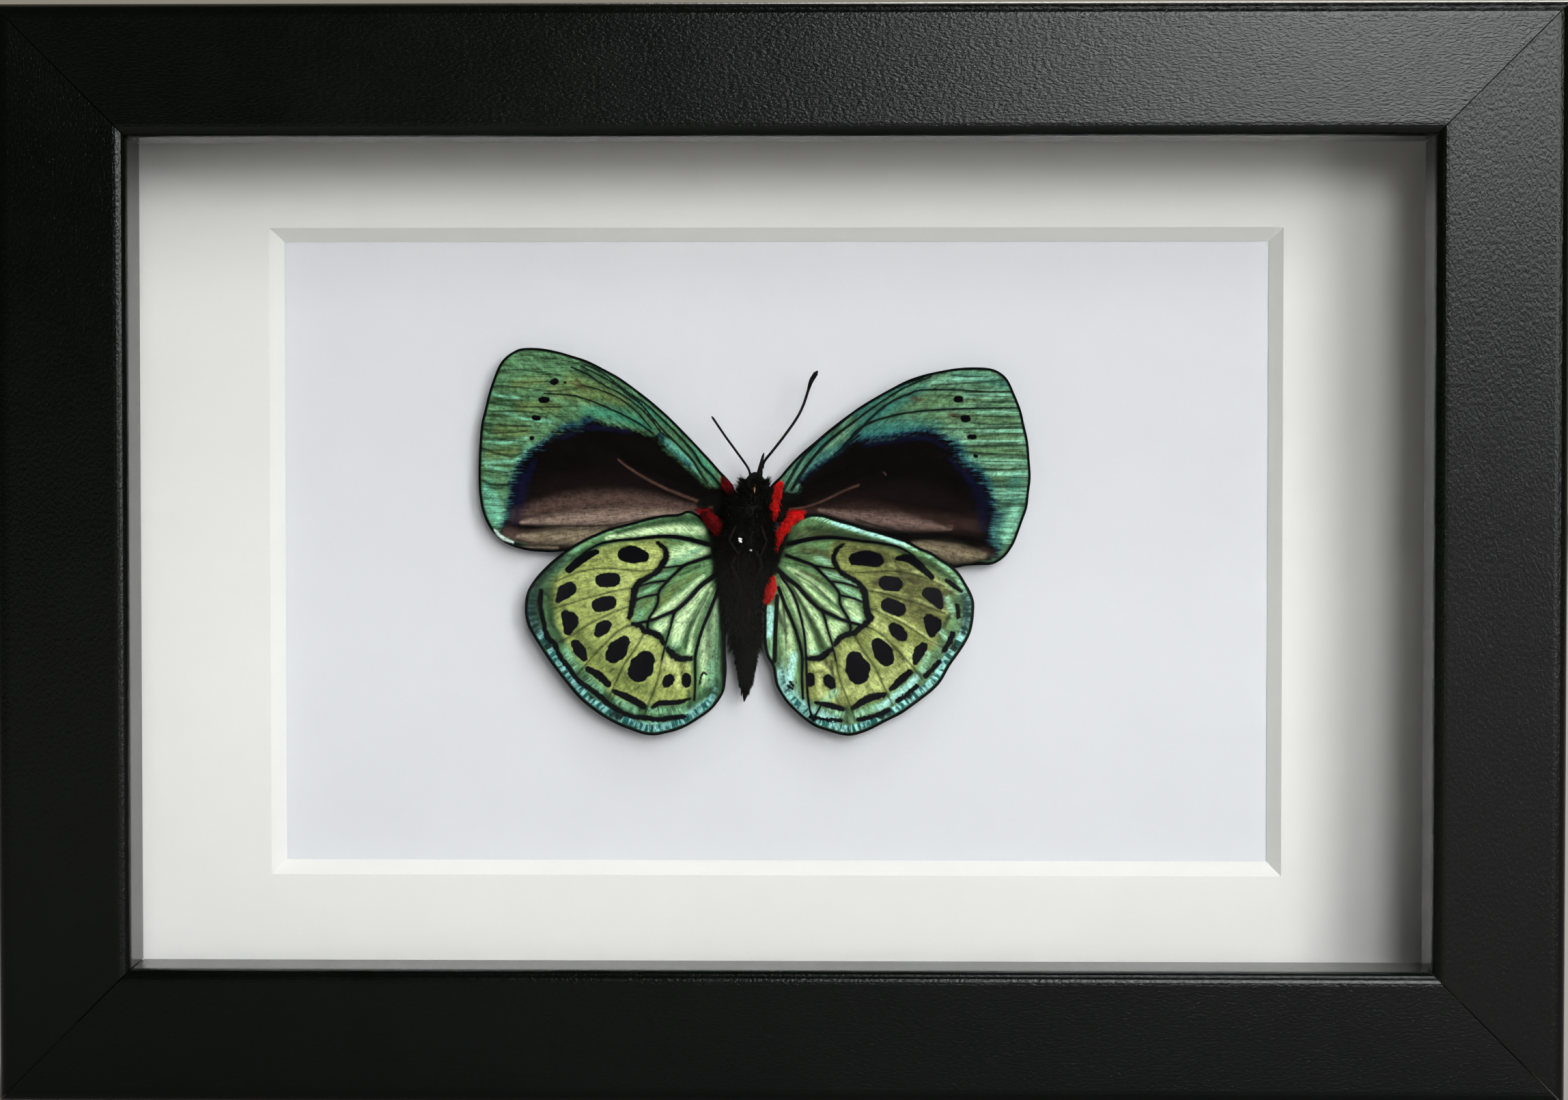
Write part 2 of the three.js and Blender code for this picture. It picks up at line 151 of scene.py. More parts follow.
class Tree:
    """Builds one material's node tree."""

    def __init__(self, name: str = "", world: bpy.types.World | None = None) -> None:
        """Starts an empty tree in a new material, or in a world."""
        self.material = None if world else bpy.data.materials.new(name)
        owner = world or self.material
        owner.use_nodes = True
        self.tree = owner.node_tree
        self.tree.nodes.clear()

    def node(self, kind: str, settings: dict | None = None, inputs: dict | None = None) -> bpy.types.Node:
        """Adds a node.

        Args:
            kind: the node's type.
            settings: properties, which are set first.
            inputs: values or links, by socket name or number.

        Returns:
            The node.
        """
        made = self.tree.nodes.new(kind)
        for key, setting in (settings or {}).items():
            setattr(made, key, setting)
        for key, given in (inputs or {}).items():
            socket = made.inputs[key]
            if isinstance(given, Val):
                self.tree.links.new(given.socket, socket)
            elif isinstance(given, tuple) and socket.type == "RGBA":
                socket.default_value = (*given[:3], 1.0)
            else:
                socket.default_value = given
        return made

    def value(
        self, kind: str, settings: dict | None = None, inputs: dict | None = None, output: int | str = 0
    ) -> Val:
        """Adds a node and wraps one of its outputs.

        Args:
            kind: the node's type.
            settings: properties, which are set first.
            inputs: values or links.
            output: the output's name or number.

        Returns:
            The wrapped output.
        """
        return Val(self, self.node(kind, settings, inputs).outputs[output])

    def math(self, operation: str, *terms: Num) -> Val:
        """Adds a Math node on one or two terms."""
        return self.value("ShaderNodeMath", {"operation": operation}, dict(enumerate(terms)))

    def mark(self, name: str) -> Val:
        """Reads a number that the mesh holds at each point."""
        return self.value("ShaderNodeAttribute", {"attribute_name": name}, output="Fac")

    def place(self) -> Val:
        """The place on the object, in metres."""
        return self.value("ShaderNodeTexCoord", output="Object")

    def vector(self, x: Num, y: Num, z: Num = 0.0) -> Val:
        """Joins three values into a vector."""
        return self.value("ShaderNodeCombineXYZ", inputs={"X": x, "Y": y, "Z": z})

    def stretch(self, vector: Val, factors: Sequence[float]) -> Val:
        """Multiplies a vector by three factors."""
        return self.value("ShaderNodeVectorMath", {"operation": "MULTIPLY"}, {0: vector, 1: tuple(factors)})

    def axis(self, vector: Val, name: str) -> Val:
        """One part of a vector: X, Y or Z."""
        return self.value("ShaderNodeSeparateXYZ", inputs={0: vector}, output=name)

    def noise(self, vector: Val, scale: float, detail: float = 3.0, roughness: float = 0.55) -> Val:
        """Smooth noise about 0.5.

        Args:
            vector: where to read it.
            scale: its frequency.
            detail: how many finer octaves it has.
            roughness: how strong those are.

        Returns:
            The noise.
        """
        inputs = {"Vector": vector, "Scale": scale, "Detail": detail, "Roughness": roughness}
        return self.value("ShaderNodeTexNoise", None, inputs)

    def cells(self, vector: Val, scale: float, output: str = "Distance") -> Val:
        """Small cells, for flakes and specks."""
        return self.value("ShaderNodeTexVoronoi", None, {"Vector": vector, "Scale": scale}, output)

    def blend(self, factor: Num, below: Union[Val, Colour], above: Union[Val, Colour]) -> Val:
        """Lays one colour over another.

        Args:
            factor: how much of the upper colour shows.
            below: the colour under it.
            above: the upper colour.

        Returns:
            The mixed colour.
        """
        return self.value("ShaderNodeMix", {"data_type": "RGBA"}, {0: factor, 6: below, 7: above}, 2)

    def layers(self, below: Union[Val, Colour], *coats: tuple[Num, Union[Val, Colour]]) -> Val:
        """Lays colours over one another.

        Args:
            below: the lowest colour.
            coats: from the bottom up, how much of each further colour shows and that colour.

        Returns:
            The mixed colour.
        """
        for factor, above in coats:
            below = self.blend(factor, below, above)
        return below

    def shade(self, colour: Val, amount: Val) -> Val:
        """Multiplies a colour by a grey value."""
        return self.value("ShaderNodeVectorMath", {"operation": "SCALE"}, {0: colour, "Scale": amount})

    def bump(self, height: Val, depth_mm: float, strength: float = 1.0) -> Val:
        """Turns a height into a surface normal.

        Args:
            height: from 0 to 1.
            depth_mm: what 1 stands for.
            strength: how much of it is used.

        Returns:
            The normal.
        """
        inputs = {"Height": height, "Distance": depth_mm * MM, "Strength": strength}
        return self.value("ShaderNodeBump", None, inputs)

    def surface(self, inputs: dict) -> bpy.types.Material:
        """Ends the tree with a Principled shader.

        Args:
            inputs: the shader's values and links.

        Returns:
            The finished material.
        """
        shader = self.node("ShaderNodeBsdfPrincipled", None, inputs)
        end = self.node("ShaderNodeOutputMaterial")
        self.tree.links.new(shader.outputs[0], end.inputs[0])
        return self.material


# ---------------------------------------------------------------- finishes of the frame


@dataclass(frozen=True)
class BlackSatin:
    """Black stained wood under a satin lacquer with fine pebbled brush marks along the rail."""

    grain: Grain
    colour: Colour = srgb(1, 5, 3)
    worn: Colour = srgb(8, 13, 9)
    roughness: float = 0.16
    relief: float = 0.042
    gloss: float = 0.28
    dust: Colour = srgb(120, 122, 116)

    def material(self) -> bpy.types.Material:
        """Makes the wood material."""
        tree = Tree(f"black_satin_{self.grain.name.lower()}")
        place = tree.place()
        pebble = tree.noise(tree.stretch(place, self.grain.value), 2000, 3, 0.6)
        mottle = tree.noise(place, 160, 4, 0.6)
        colour = tree.blend(((pebble + mottle) * 0.9 - 0.7).at_least(0.0), self.colour, self.worn)
        dust = tree.cells(place, 260).rise(0.07, 0.03) * tree.noise(place, 40, 2).rise(0.62, 0.74)
        colour = tree.blend(dust * 0.12, colour, self.dust)
        return tree.surface({
            "Base Color": colour,
            "Roughness": self.roughness + (pebble - 0.5) * 0.1 + (mottle - 0.5) * 0.06,
            "Specular IOR Level": self.gloss,
            "Normal": tree.bump(pebble, self.relief, 0.8),
        })


@dataclass(frozen=True)
class PictureGlass:
    """Clear picture glass with a coating that keeps reflections low."""

    tint: Colour = (0.98, 0.99, 0.985)
    film: Colour = (0.99, 0.995, 0.99)
    index: float = 1.15

    def material(self) -> bpy.types.Material:
        """Makes the glass material."""
        tree = Tree("picture_glass")
        cloud = tree.noise(tree.place(), 60, 3)
        return tree.surface({
            "Base Color": tree.blend(cloud, self.tint, self.film),
            "Transmission Weight": 1.0,
            "Roughness": 0.0,
            "IOR": self.index,
        })


@dataclass(frozen=True)
class Paperboard:
    """Smooth paper or board with a faint tooth."""

    name: str
    colour: Colour
    second: Colour
    speck: Colour = srgb(150, 145, 135)
    tooth: float = 0.02

    def material(self) -> bpy.types.Material:
        """Makes the paper material."""
        tree = Tree(self.name)
        place = tree.place()
        cloud = tree.noise(place, 45, 4)
        fibre = tree.noise(place, 2600, 3, 0.6)
        fleck = tree.cells(place, 700).rise(0.09, 0.03) * tree.noise(place, 120, 1).rise(0.6, 0.7)
        colour = tree.blend((cloud * 1.4 - 0.2) * 0.7 + fibre * 0.3, self.colour, self.second)
        colour = tree.blend(fleck * 0.12, colour, self.speck)
        return tree.surface({
            "Base Color": colour,
            "Roughness": 0.82 + (fibre - 0.5) * 0.2,
            "Specular IOR Level": 0.25,
            "Normal": tree.bump(fibre, self.tooth, 0.5),
        })


@dataclass(frozen=True)
class RawBoard:
    """Bare brown hardboard or dull painted strip, by its colours."""

    name: str
    dark: Colour
    light: Colour
    weave: float = 0.06

    def material(self) -> bpy.types.Material:
        """Makes the board material."""
        tree = Tree(self.name)
        place = tree.place()
        fibre = tree.noise(tree.stretch(place, (1, 1, 2.4)), 700, 4, 0.65)
        blot = tree.noise(place, 60, 4)
        flake = tree.cells(place, 900, "Distance")
        colour = tree.blend(fibre.rise(0.3, 0.7) * 0.7 + blot * 0.5 - 0.1, self.dark, self.light)
        return tree.surface({
            "Base Color": colour,
            "Roughness": 0.66 + (fibre - 0.5) * 0.3,
            "Specular IOR Level": 0.3,
            "Normal": tree.bump(fibre * 0.7 + flake * 0.4, self.weave, 0.6),
        })


@dataclass(frozen=True)
class ZincPlate:
    """Bright zinc plate over pressed steel, with fine rolling lines."""

    colour: Colour = (0.52, 0.53, 0.55)
    dulled: Colour = srgb(150, 150, 146)

    def material(self) -> bpy.types.Material:
        """Makes the metal material."""
        tree = Tree("zinc_plate")
        place = tree.place()
        lines = tree.noise(tree.stretch(place, (0.15, 1, 1.5)), 5200, 3)
        spangle = tree.cells(place, 500, "Distance")
        dull = tree.noise(place, 300, 4)
        return tree.surface({
            "Base Color": tree.blend(dull, self.colour, self.dulled),
            "Metallic": 1.0,
            "Roughness": 0.3 + lines * 0.16 + spangle * 0.12,
            "Normal": tree.bump(lines, 0.01, 0.4),
        })


@dataclass(frozen=True)
class SetGlue:
    """Set hot glue, milky and slightly yellow."""

    colour: Colour = srgb(216, 205, 172)
    cloudy: Colour = srgb(190, 175, 140)

    def material(self) -> bpy.types.Material:
        """Makes the glue material."""
        tree = Tree("set_glue")
        cloud = tree.noise(tree.place(), 900, 3)
        return tree.surface({
            "Base Color": tree.blend(cloud, self.colour, self.cloudy),
            "Roughness": 0.28 + cloud * 0.15,
            "Coat Weight": 0.2,
            "Normal": tree.bump(cloud, 0.05, 0.5),
        })


# ---------------------------------------------------------------- plane geometry of the wings


def smooth_line(points: Sequence[Sequence[float]], step: float, closed: bool = False) -> np.ndarray:
    """Runs a smooth curve through points and spaces it evenly.

    Args:
        points: rows of x, z and anything else that varies along the line.
        step: the spacing in mm.
        closed: whether the last point joins the first.

    Returns:
        One row for each point of the curve.
    """
    p = np.array(points, float)
    if len(p) == 2:
        curve = p[0] + (p[1] - p[0]) * np.linspace(0, 1, 9)[:, None]
    else:
        q = np.vstack([p[-1], p, p[:2]]) if closed else np.vstack([2 * p[0] - p[1], p, 2 * p[-1] - p[-2]])
        t = np.linspace(0, 1, 10, endpoint=False)[:, None]
        parts = [
            0.5 * (2 * b + (c - a) * t + (2 * a - 5 * b + 4 * c - d) * t**2 + (3 * b - a - 3 * c + d) * t**3)
            for a, b, c, d in zip(q, q[1:], q[2:], q[3:])
        ]
        curve = np.vstack([*parts, q[-2:-1]])
    run = np.concatenate([[0], np.cumsum(np.hypot(*np.diff(curve[:, :2], axis=0).T))])
    count = max(2, round(run[-1] / step) + 1)
    at = np.linspace(0, run[-1], count)
    even = np.stack([np.interp(at, run, column) for column in curve.T], 1)
    return even[:-1] if closed else even


def nearest(at: np.ndarray, line: np.ndarray, closed: bool = False) -> tuple[np.ndarray, np.ndarray]:
    """How far points are from a line, and where along it they are closest.

    Args:
        at: the points, x and z.
        line: the line's points.
        closed: whether it joins up.

    Returns:
        The distances, and the places along the line counted in its points.
    """
    start = line[:, :2] if closed else line[:-1, :2]
    end = np.roll(line[:, :2], -1, 0) if closed else line[1:, :2]
    span = end - start
    size = (span**2).sum(1).clip(1e-9)
    far, where = np.empty(len(at)), np.empty(len(at))
    for low in range(0, len(at), 2000):
        gap = at[low:low + 2000, None] - start
        t = ((gap * span).sum(2) / size).clip(0, 1)
        apart = ((gap - t[..., None] * span) ** 2).sum(2)
        best = apart.argmin(1)
        rows = np.arange(len(best))
        far[low:low + 2000] = np.sqrt(apart[rows, best])
        where[low:low + 2000] = best + t[rows, best]
    return far, where


def within(at: np.ndarray, ring: np.ndarray) -> np.ndarray:
    """Whether points lie inside a ring.

    Args:
        at: the points.
        ring: the ring's points.

    Returns:
        True for each point inside.
    """
    a, b = ring, np.roll(ring, -1, 0)
    inside = np.zeros(len(at), bool)
    for (x0, z0), (x1, z1) in zip(a, b):
        if z0 != z1:
            crosses = (z0 > at[:, 1]) != (z1 > at[:, 1])
            inside ^= crosses & (at[:, 0] < (x1 - x0) * (at[:, 1] - z0) / (z1 - z0) + x0)
    return inside


@dataclass(frozen=True)
class Stroke:
    """A brush mark: x, z and width in mm at each of its points."""

    path: Points
    step: float = 0.2

    def measure(self, at: np.ndarray) -> tuple[np.ndarray, np.ndarray]:
        """How far points are from the mark's middle line, and half its width there.

        Args:
            at: the points.

        Returns:
            The distances and the half widths.
        """
        line = smooth_line(self.path, self.step)
        far, where = nearest(at, line)
        return far, np.interp(where, np.arange(len(line)), line[:, 2]) / 2

    def reach(self, at: np.ndarray) -> np.ndarray:
        """How far points lie inside the mark's edge, in mm, negative outside.

        Args:
            at: the points.

        Returns:
            The signed distances.
        """
        far, half = self.measure(at)
        return half - far

    def wash(self, at: np.ndarray) -> np.ndarray:
        """The mark as a soft brush: 1 on its middle line and 0 at its edge.

        Args:
            at: the points.

        Returns:
            The strength at each point.
        """
        far, half = self.measure(at)
        t = (1 - far / half).clip(0, 1)
        return t * t * (3 - 2 * t)


def even(width: float, *numbers: float) -> Stroke:
    """A mark of one width through points given as x, z, x, z and so on."""
    return swell((width, width), *numbers)


def swell(widths: Sequence[float], *numbers: float) -> Stroke:
    """A mark whose width runs through the given widths along its points.

    Args:
        widths: two or more widths, spread evenly along the mark.
        numbers: x and z of the first point, of the second and so on.

    Returns:
        The mark.
    """
    xs, zs = numbers[::2], numbers[1::2]
    wide = np.interp(np.linspace(0, 1, len(zs)), np.linspace(0, 1, len(widths)), widths)
    return Stroke(tuple(zip(xs, zs, wide.tolist())))


def blob(x: float, z: float, wide: float, high: float, tilt: float = 0.0) -> Stroke:
    """An oval spot.

    Args:
        x, z: its middle.
        wide: its width before it is tilted.
        high: its height before it is tilted.
        tilt: degrees anticlockwise.

    Returns:
        The spot as a short, thick mark.
    """
    long, thick = max(wide, high), min(wide, high)
    turn = math.radians(tilt + (0 if wide >= high else 90))
    half = max(long - thick * 0.92, 0.02) / 2
    dx, dz = half * math.cos(turn), half * math.sin(turn)
    return Stroke(((x - dx, z - dz, thick), (x, z, thick * 1.06), (x + dx, z + dz, thick)))


def across(stroke: Stroke) -> Stroke:
    """The same mark on the right hindwing, which sits a touch wider and higher than the left."""
    wider, aside, taller, tilt, higher = 1.0156, 0.04, 0.9943, 0.0364, 0.2844
    return Stroke(tuple((-wider * x - aside, taller * z + tilt * x + higher, w) for x, z, w in stroke.path))


@dataclass
class WingPlan:
    """Everything drawn on one wing, in mm about the specimen's zero.

    Crisp layers hold marks with hard edges, soft layers hold brush washes, and patches hold closed areas.
    """

    outline: tuple[Pair, ...]
    root: Pair
    crisp: dict[str, list[Stroke]] = field(default_factory=dict)
    soft: dict[str, list[Stroke]] = field(default_factory=dict)
    patch: dict[str, tuple[Pair, ...]] = field(default_factory=dict)


# ---------------------------------------------------------------- the four wing plans

FOREWING_DEPTH, HINDWING_DEPTH = 0.8, 0.2  # mm behind the specimen's zero
FOREWING_SHIFT = (-0.15, 0.1)  # mm, from the plan to where the forewings are set
FOREWING_GROWTH = {Side.LEFT: 1.005, Side.RIGHT: 1.0}
SHADED_RED = srgb(96, 6, 10)  # of the left wings' roots

FOREWING_LEFT = WingPlan(
    outline=(
        (-1.4, 12.1), (-3.2, 14.5), (-5.0, 16.5), (-6.8, 18.4), (-8.6, 20.2), (-10.4, 21.8), (-12.2, 23.2),
        (-14.0, 24.5), (-15.8, 25.5), (-17.6, 26.4), (-19.4, 27.0), (-21.2, 27.5), (-23.0, 27.8),
        (-24.8, 27.8), (-25.7, 27.5), (-26.6, 26.9), (-27.3, 26.1), (-27.9, 24.8), (-28.5, 23.1),
        (-29.0, 21.1), (-29.4, 19.4), (-29.6, 17.2), (-29.7, 15.0), (-29.7, 13.0), (-29.6, 11.4),
        (-29.3, 9.8), (-28.7, 8.3), (-27.9, 7.2), (-26.8, 6.3), (-25.3, 5.7), (-23.9, 5.4), (-22.4, 5.3),
        (-21.2, 5.3), (-16.0, 5.9), (-10.0, 7.2), (-4.5, 8.5), (-2.5, 9.0),
    ),
    root=(-2.0, 10.4),
    crisp={
        "vein": [
            swell(
                (0.3, 0.22, 0.16), -3.0, 12.7, -3.9, 13.8, -5.0, 14.9, -6.0, 16.5, -7.7, 18.3, -9.5, 20.1,
                -11.3, 21.7, -13.1, 22.9, -14.9, 24.3, -16.3, 25.3, -18.0, 26.0,
            ),
            swell(
                (0.3, 0.22, 0.14), -4.4, 12.9, -5.2, 14.1, -6.0, 15.4, -7.3, 16.8, -9.1, 18.6, -10.4, 20.1,
                -11.8, 21.7, -13.3, 22.8, -14.7, 23.9, -16.5, 24.9, -18.3, 25.8,
            ),
            even(
                0.18, -8.6, 17.9, -9.5, 18.5, -10.7, 20.1, -12.2, 21.5, -14.0, 22.8, -15.8, 23.7,
                -17.6, 24.9, -19.4, 25.7,
            ),
            swell((0.2, 0.12), -10.6, 19.0, -12.2, 20.8, -14.0, 22.2, -16.0, 23.1, -18.2, 23.7),
            swell(
                (0.22, 0.16), -10.4, 18.4, -11.8, 19.4, -13.6, 20.4, -15.8, 21.4, -17.6, 22.1, -19.4, 22.6,
                -22.4, 22.8,
            ),
            swell(
                (0.12, 0.2, 0.12), -25.2, 8.2, -22.0, 8.2, -18.0, 8.2, -15.0, 8.3, -12.5, 8.8, -10.0, 9.3,
            ),
            swell((0.2, 0.3, 0.16), -28.0, 7.5, -26.6, 6.6, -25.0, 6.1, -23.0, 6.0, -20.5, 6.0),
        ],
        "spot": [
            blob(-21.28, 24.09, 0.95, 0.66, 20), blob(-22.41, 22.09, 1.2, 0.66),
            blob(-23.3, 20.1, 0.95, 0.6, -10), blob(-23.78, 17.87, 0.55, 0.45), blob(-20.1, 24.0, 0.4, 0.3),
            even(0.1, -23.4, 24.1, -21.5, 24.1),
        ],
    },
    soft={
        "line": [
            even(0.34, -27.5, 25.3, -24.8, 25.4, -22.6, 25.1, -20.6, 24.8),
            even(0.3, -27.7, 23.7, -24.4, 23.4, -21.9, 23.1, -18.9, 23.3),
            even(0.4, -28.5, 21.8, -26.0, 21.4, -23.5, 21.3, -20.5, 21.3),
            even(0.3, -28.6, 20.8, -25.0, 20.8, -22.0, 20.5),
            even(0.36, -29.1, 19.5, -26.6, 19.3, -23.9, 19.2),
            even(0.4, -28.6, 18.4, -26.2, 18.5, -24.3, 18.7),
            even(0.3, -28.0, 17.9, -26.0, 17.6, -24.4, 17.5),
            even(0.42, -29.3, 16.8, -27.7, 16.2, -25.9, 15.9, -24.8, 16.3),
            even(0.3, -29.1, 14.3, -27.5, 14.0, -26.0, 14.2),
            even(0.5, -29.3, 13.2, -28.0, 12.7, -26.4, 12.7),
            even(0.3, -22.8, 26.7, -20.5, 26.5, -18.6, 26.1),
        ],
        "teal": [
            swell((0.6, 2.2, 2.6, 1.6), -10.4, 18.8, -12.6, 19.9, -15.6, 20.6, -18.2, 20.9),
            swell((0.9, 1.6, 2.0, 0.7), -5.5, 14.2, -6.8, 15.6, -8.6, 17.1, -9.6, 17.9),
            swell((1.0, 1.3, 0.8), -3.6, 13.2, -4.4, 14.6, -6.2, 16.9),
            swell((0.7, 0.9, 0.7), -8.6, 19.2, -11.3, 21.3, -13.4, 23.1),
            swell((2.0, 3.4, 2.6), -28.6, 13.0, -28.5, 10.6, -27.6, 8.8),
        ],
        "mint": [
            swell((1.6, 3.4, 2.8), -29.0, 12.2, -28.1, 10.8, -27.4, 8.7),
            even(0.5, -21.4, 19.7, -24.0, 19.9, -26.6, 20.6),
            even(0.5, -24.3, 17.9, -26.6, 17.4, -28.8, 17.5),
            even(0.5, -25.6, 15.3, -27.4, 15.3, -29.2, 15.2),
            even(0.45, -28.7, 23.2, -27.6, 22.6, -25.2, 22.3), even(1.1, -24.0, 17.0, -25.4, 15.4),
            even(0.6, -26.0, 14.1, -28.8, 14.8),
            swell((0.4, 1.3, 1.2, 0.4), -5.2, 13.6, -6.4, 15.3, -8.4, 17.0, -9.4, 17.9),
        ],
        "olive": [
            swell((1.6, 3.6, 3.2), -13.5, 21.9, -16.5, 23.1, -19.6, 24.2),
            even(2.6, -17.5, 22.4, -21.5, 23.2), even(2.2, -21.2, 21.3, -25.0, 21.4),
            even(2.4, -24.6, 18.6, -27.4, 18.7), even(1.6, -25.5, 16.5, -28.5, 16.1),
            even(2.0, -22.8, 24.2, -25.6, 23.8),
        ],
        "blue": [
            even(1.6, -17.4, 19.8, -19.0, 19.4, -20.6, 19.1),
            even(2.6, -25.2, 13.0, -25.9, 10.6, -26.3, 8.2), even(1.0, -9.6, 18.2, -8.4, 17.0, -6.4, 15.0),
            even(2.4, -21.6, 17.7, -24.4, 15.4, -25.8, 13.0), even(1.4, -10.4, 21.2, -12.4, 22.6),
        ],
        "navy": [
            swell((1.0, 2.6, 2.6, 1.4), -23.4, 15.4, -24.9, 12.8, -25.2, 10.8, -25.6, 8.6),
            even(1.0, -13.0, 18.6, -17.4, 19.0, -20.4, 17.9),
        ],
        "glint": [swell((0.3, 0.55, 0.3), -27.9, 7.7, -27.1, 6.9, -25.9, 6.4)],
        "wisp": [swell((0.5, 1.1, 0.5), -17.0, 19.9, -18.8, 19.4, -21.0, 19.0)],
        "taupe": [
            swell(
                (0.6, 2.2, 2.9, 3.0, 2.3, 0.7), -4.5, 9.4, -8.5, 9.4, -12.5, 9.3, -16.5, 9.1, -20.4, 8.9,
                -25.0, 8.6,
            ),
        ],
        "tan": [
            swell((0.5, 2.0, 2.9, 2.6), -25.4, 7.0, -23.2, 7.0, -19.5, 7.0, -16.0, 7.2),
            even(0.7, -25.2, 6.0, -21.0, 5.8),
        ],
        "brown": [
            swell((1.5, 3.4, 3.6, 2.6), -6.0, 10.2, -13.0, 11.0, -20.0, 10.6, -25.6, 9.4),
            even(2.4, -26.6, 7.3, -23.8, 6.8),
        ],
        "dim": [swell((2.0, 5.0, 5.0, 3.0), -8.0, 11.6, -14.0, 12.8, -20.0, 12.6, -25.0, 11.5)],
        # dark hair at the wing root together with painted shade where the wing meets the body
        "root_hair_and_shade": [even(3.4, -1.4, 12.4, -2.2, 11.0, -2.8, 9.6), even(1.5, -3.2, 11.2, -5.0, 10.6)],
        "pale_vein": [
            swell(
                (0.6, 0.4, 0.3), -3.9, 10.3, -5.9, 11.1, -8.0, 11.9, -10.0, 12.8, -11.8, 13.8, -13.3, 14.8,
                -14.2, 15.5,
            ),
        ],
        "red": [
            swell((1.3, 1.8, 1.1), -1.7, 12.0, -2.3, 12.6, -2.7, 13.4),
            swell((1.6, 2.8, 1.4), -3.4, 8.4, -4.2, 9.2, -5.2, 9.8),
        ],
        "rust": [even(0.5, -18.9, 24.4, -18.2, 23.6), even(0.4, -19.6, 24.1, -17.6, 23.1)],
    },
    patch={
        "dark": (
            (-2.2, 12.2), (-3.6, 12.5), (-4.8, 13.0), (-5.3, 13.6), (-6.0, 14.2), (-6.8, 14.8),
            (-7.8, 15.6), (-8.8, 16.5), (-9.5, 17.4), (-9.8, 18.1), (-10.4, 18.2), (-11.3, 18.5),
            (-12.4, 18.8), (-14.0, 19.1), (-15.1, 19.4), (-16.1, 19.7), (-17.2, 19.9), (-18.0, 19.6),
            (-18.3, 19.0), (-19.4, 18.9), (-20.5, 18.6), (-21.2, 18.3), (-21.9, 17.6), (-22.6, 16.9),
            (-23.5, 16.5), (-24.2, 15.8), (-24.8, 14.8), (-25.2, 13.8), (-25.8, 12.7), (-25.9, 11.8),
            (-26.0, 10.7), (-26.1, 9.8), (-26.4, 8.9), (-26.9, 8.1), (-27.4, 7.6), (-26.6, 6.7),
            (-25.0, 6.0), (-24.8, 5.0), (-20.0, 3.0), (-2.0, 6.0), (0.0, 9.0),
        ),
    },
)

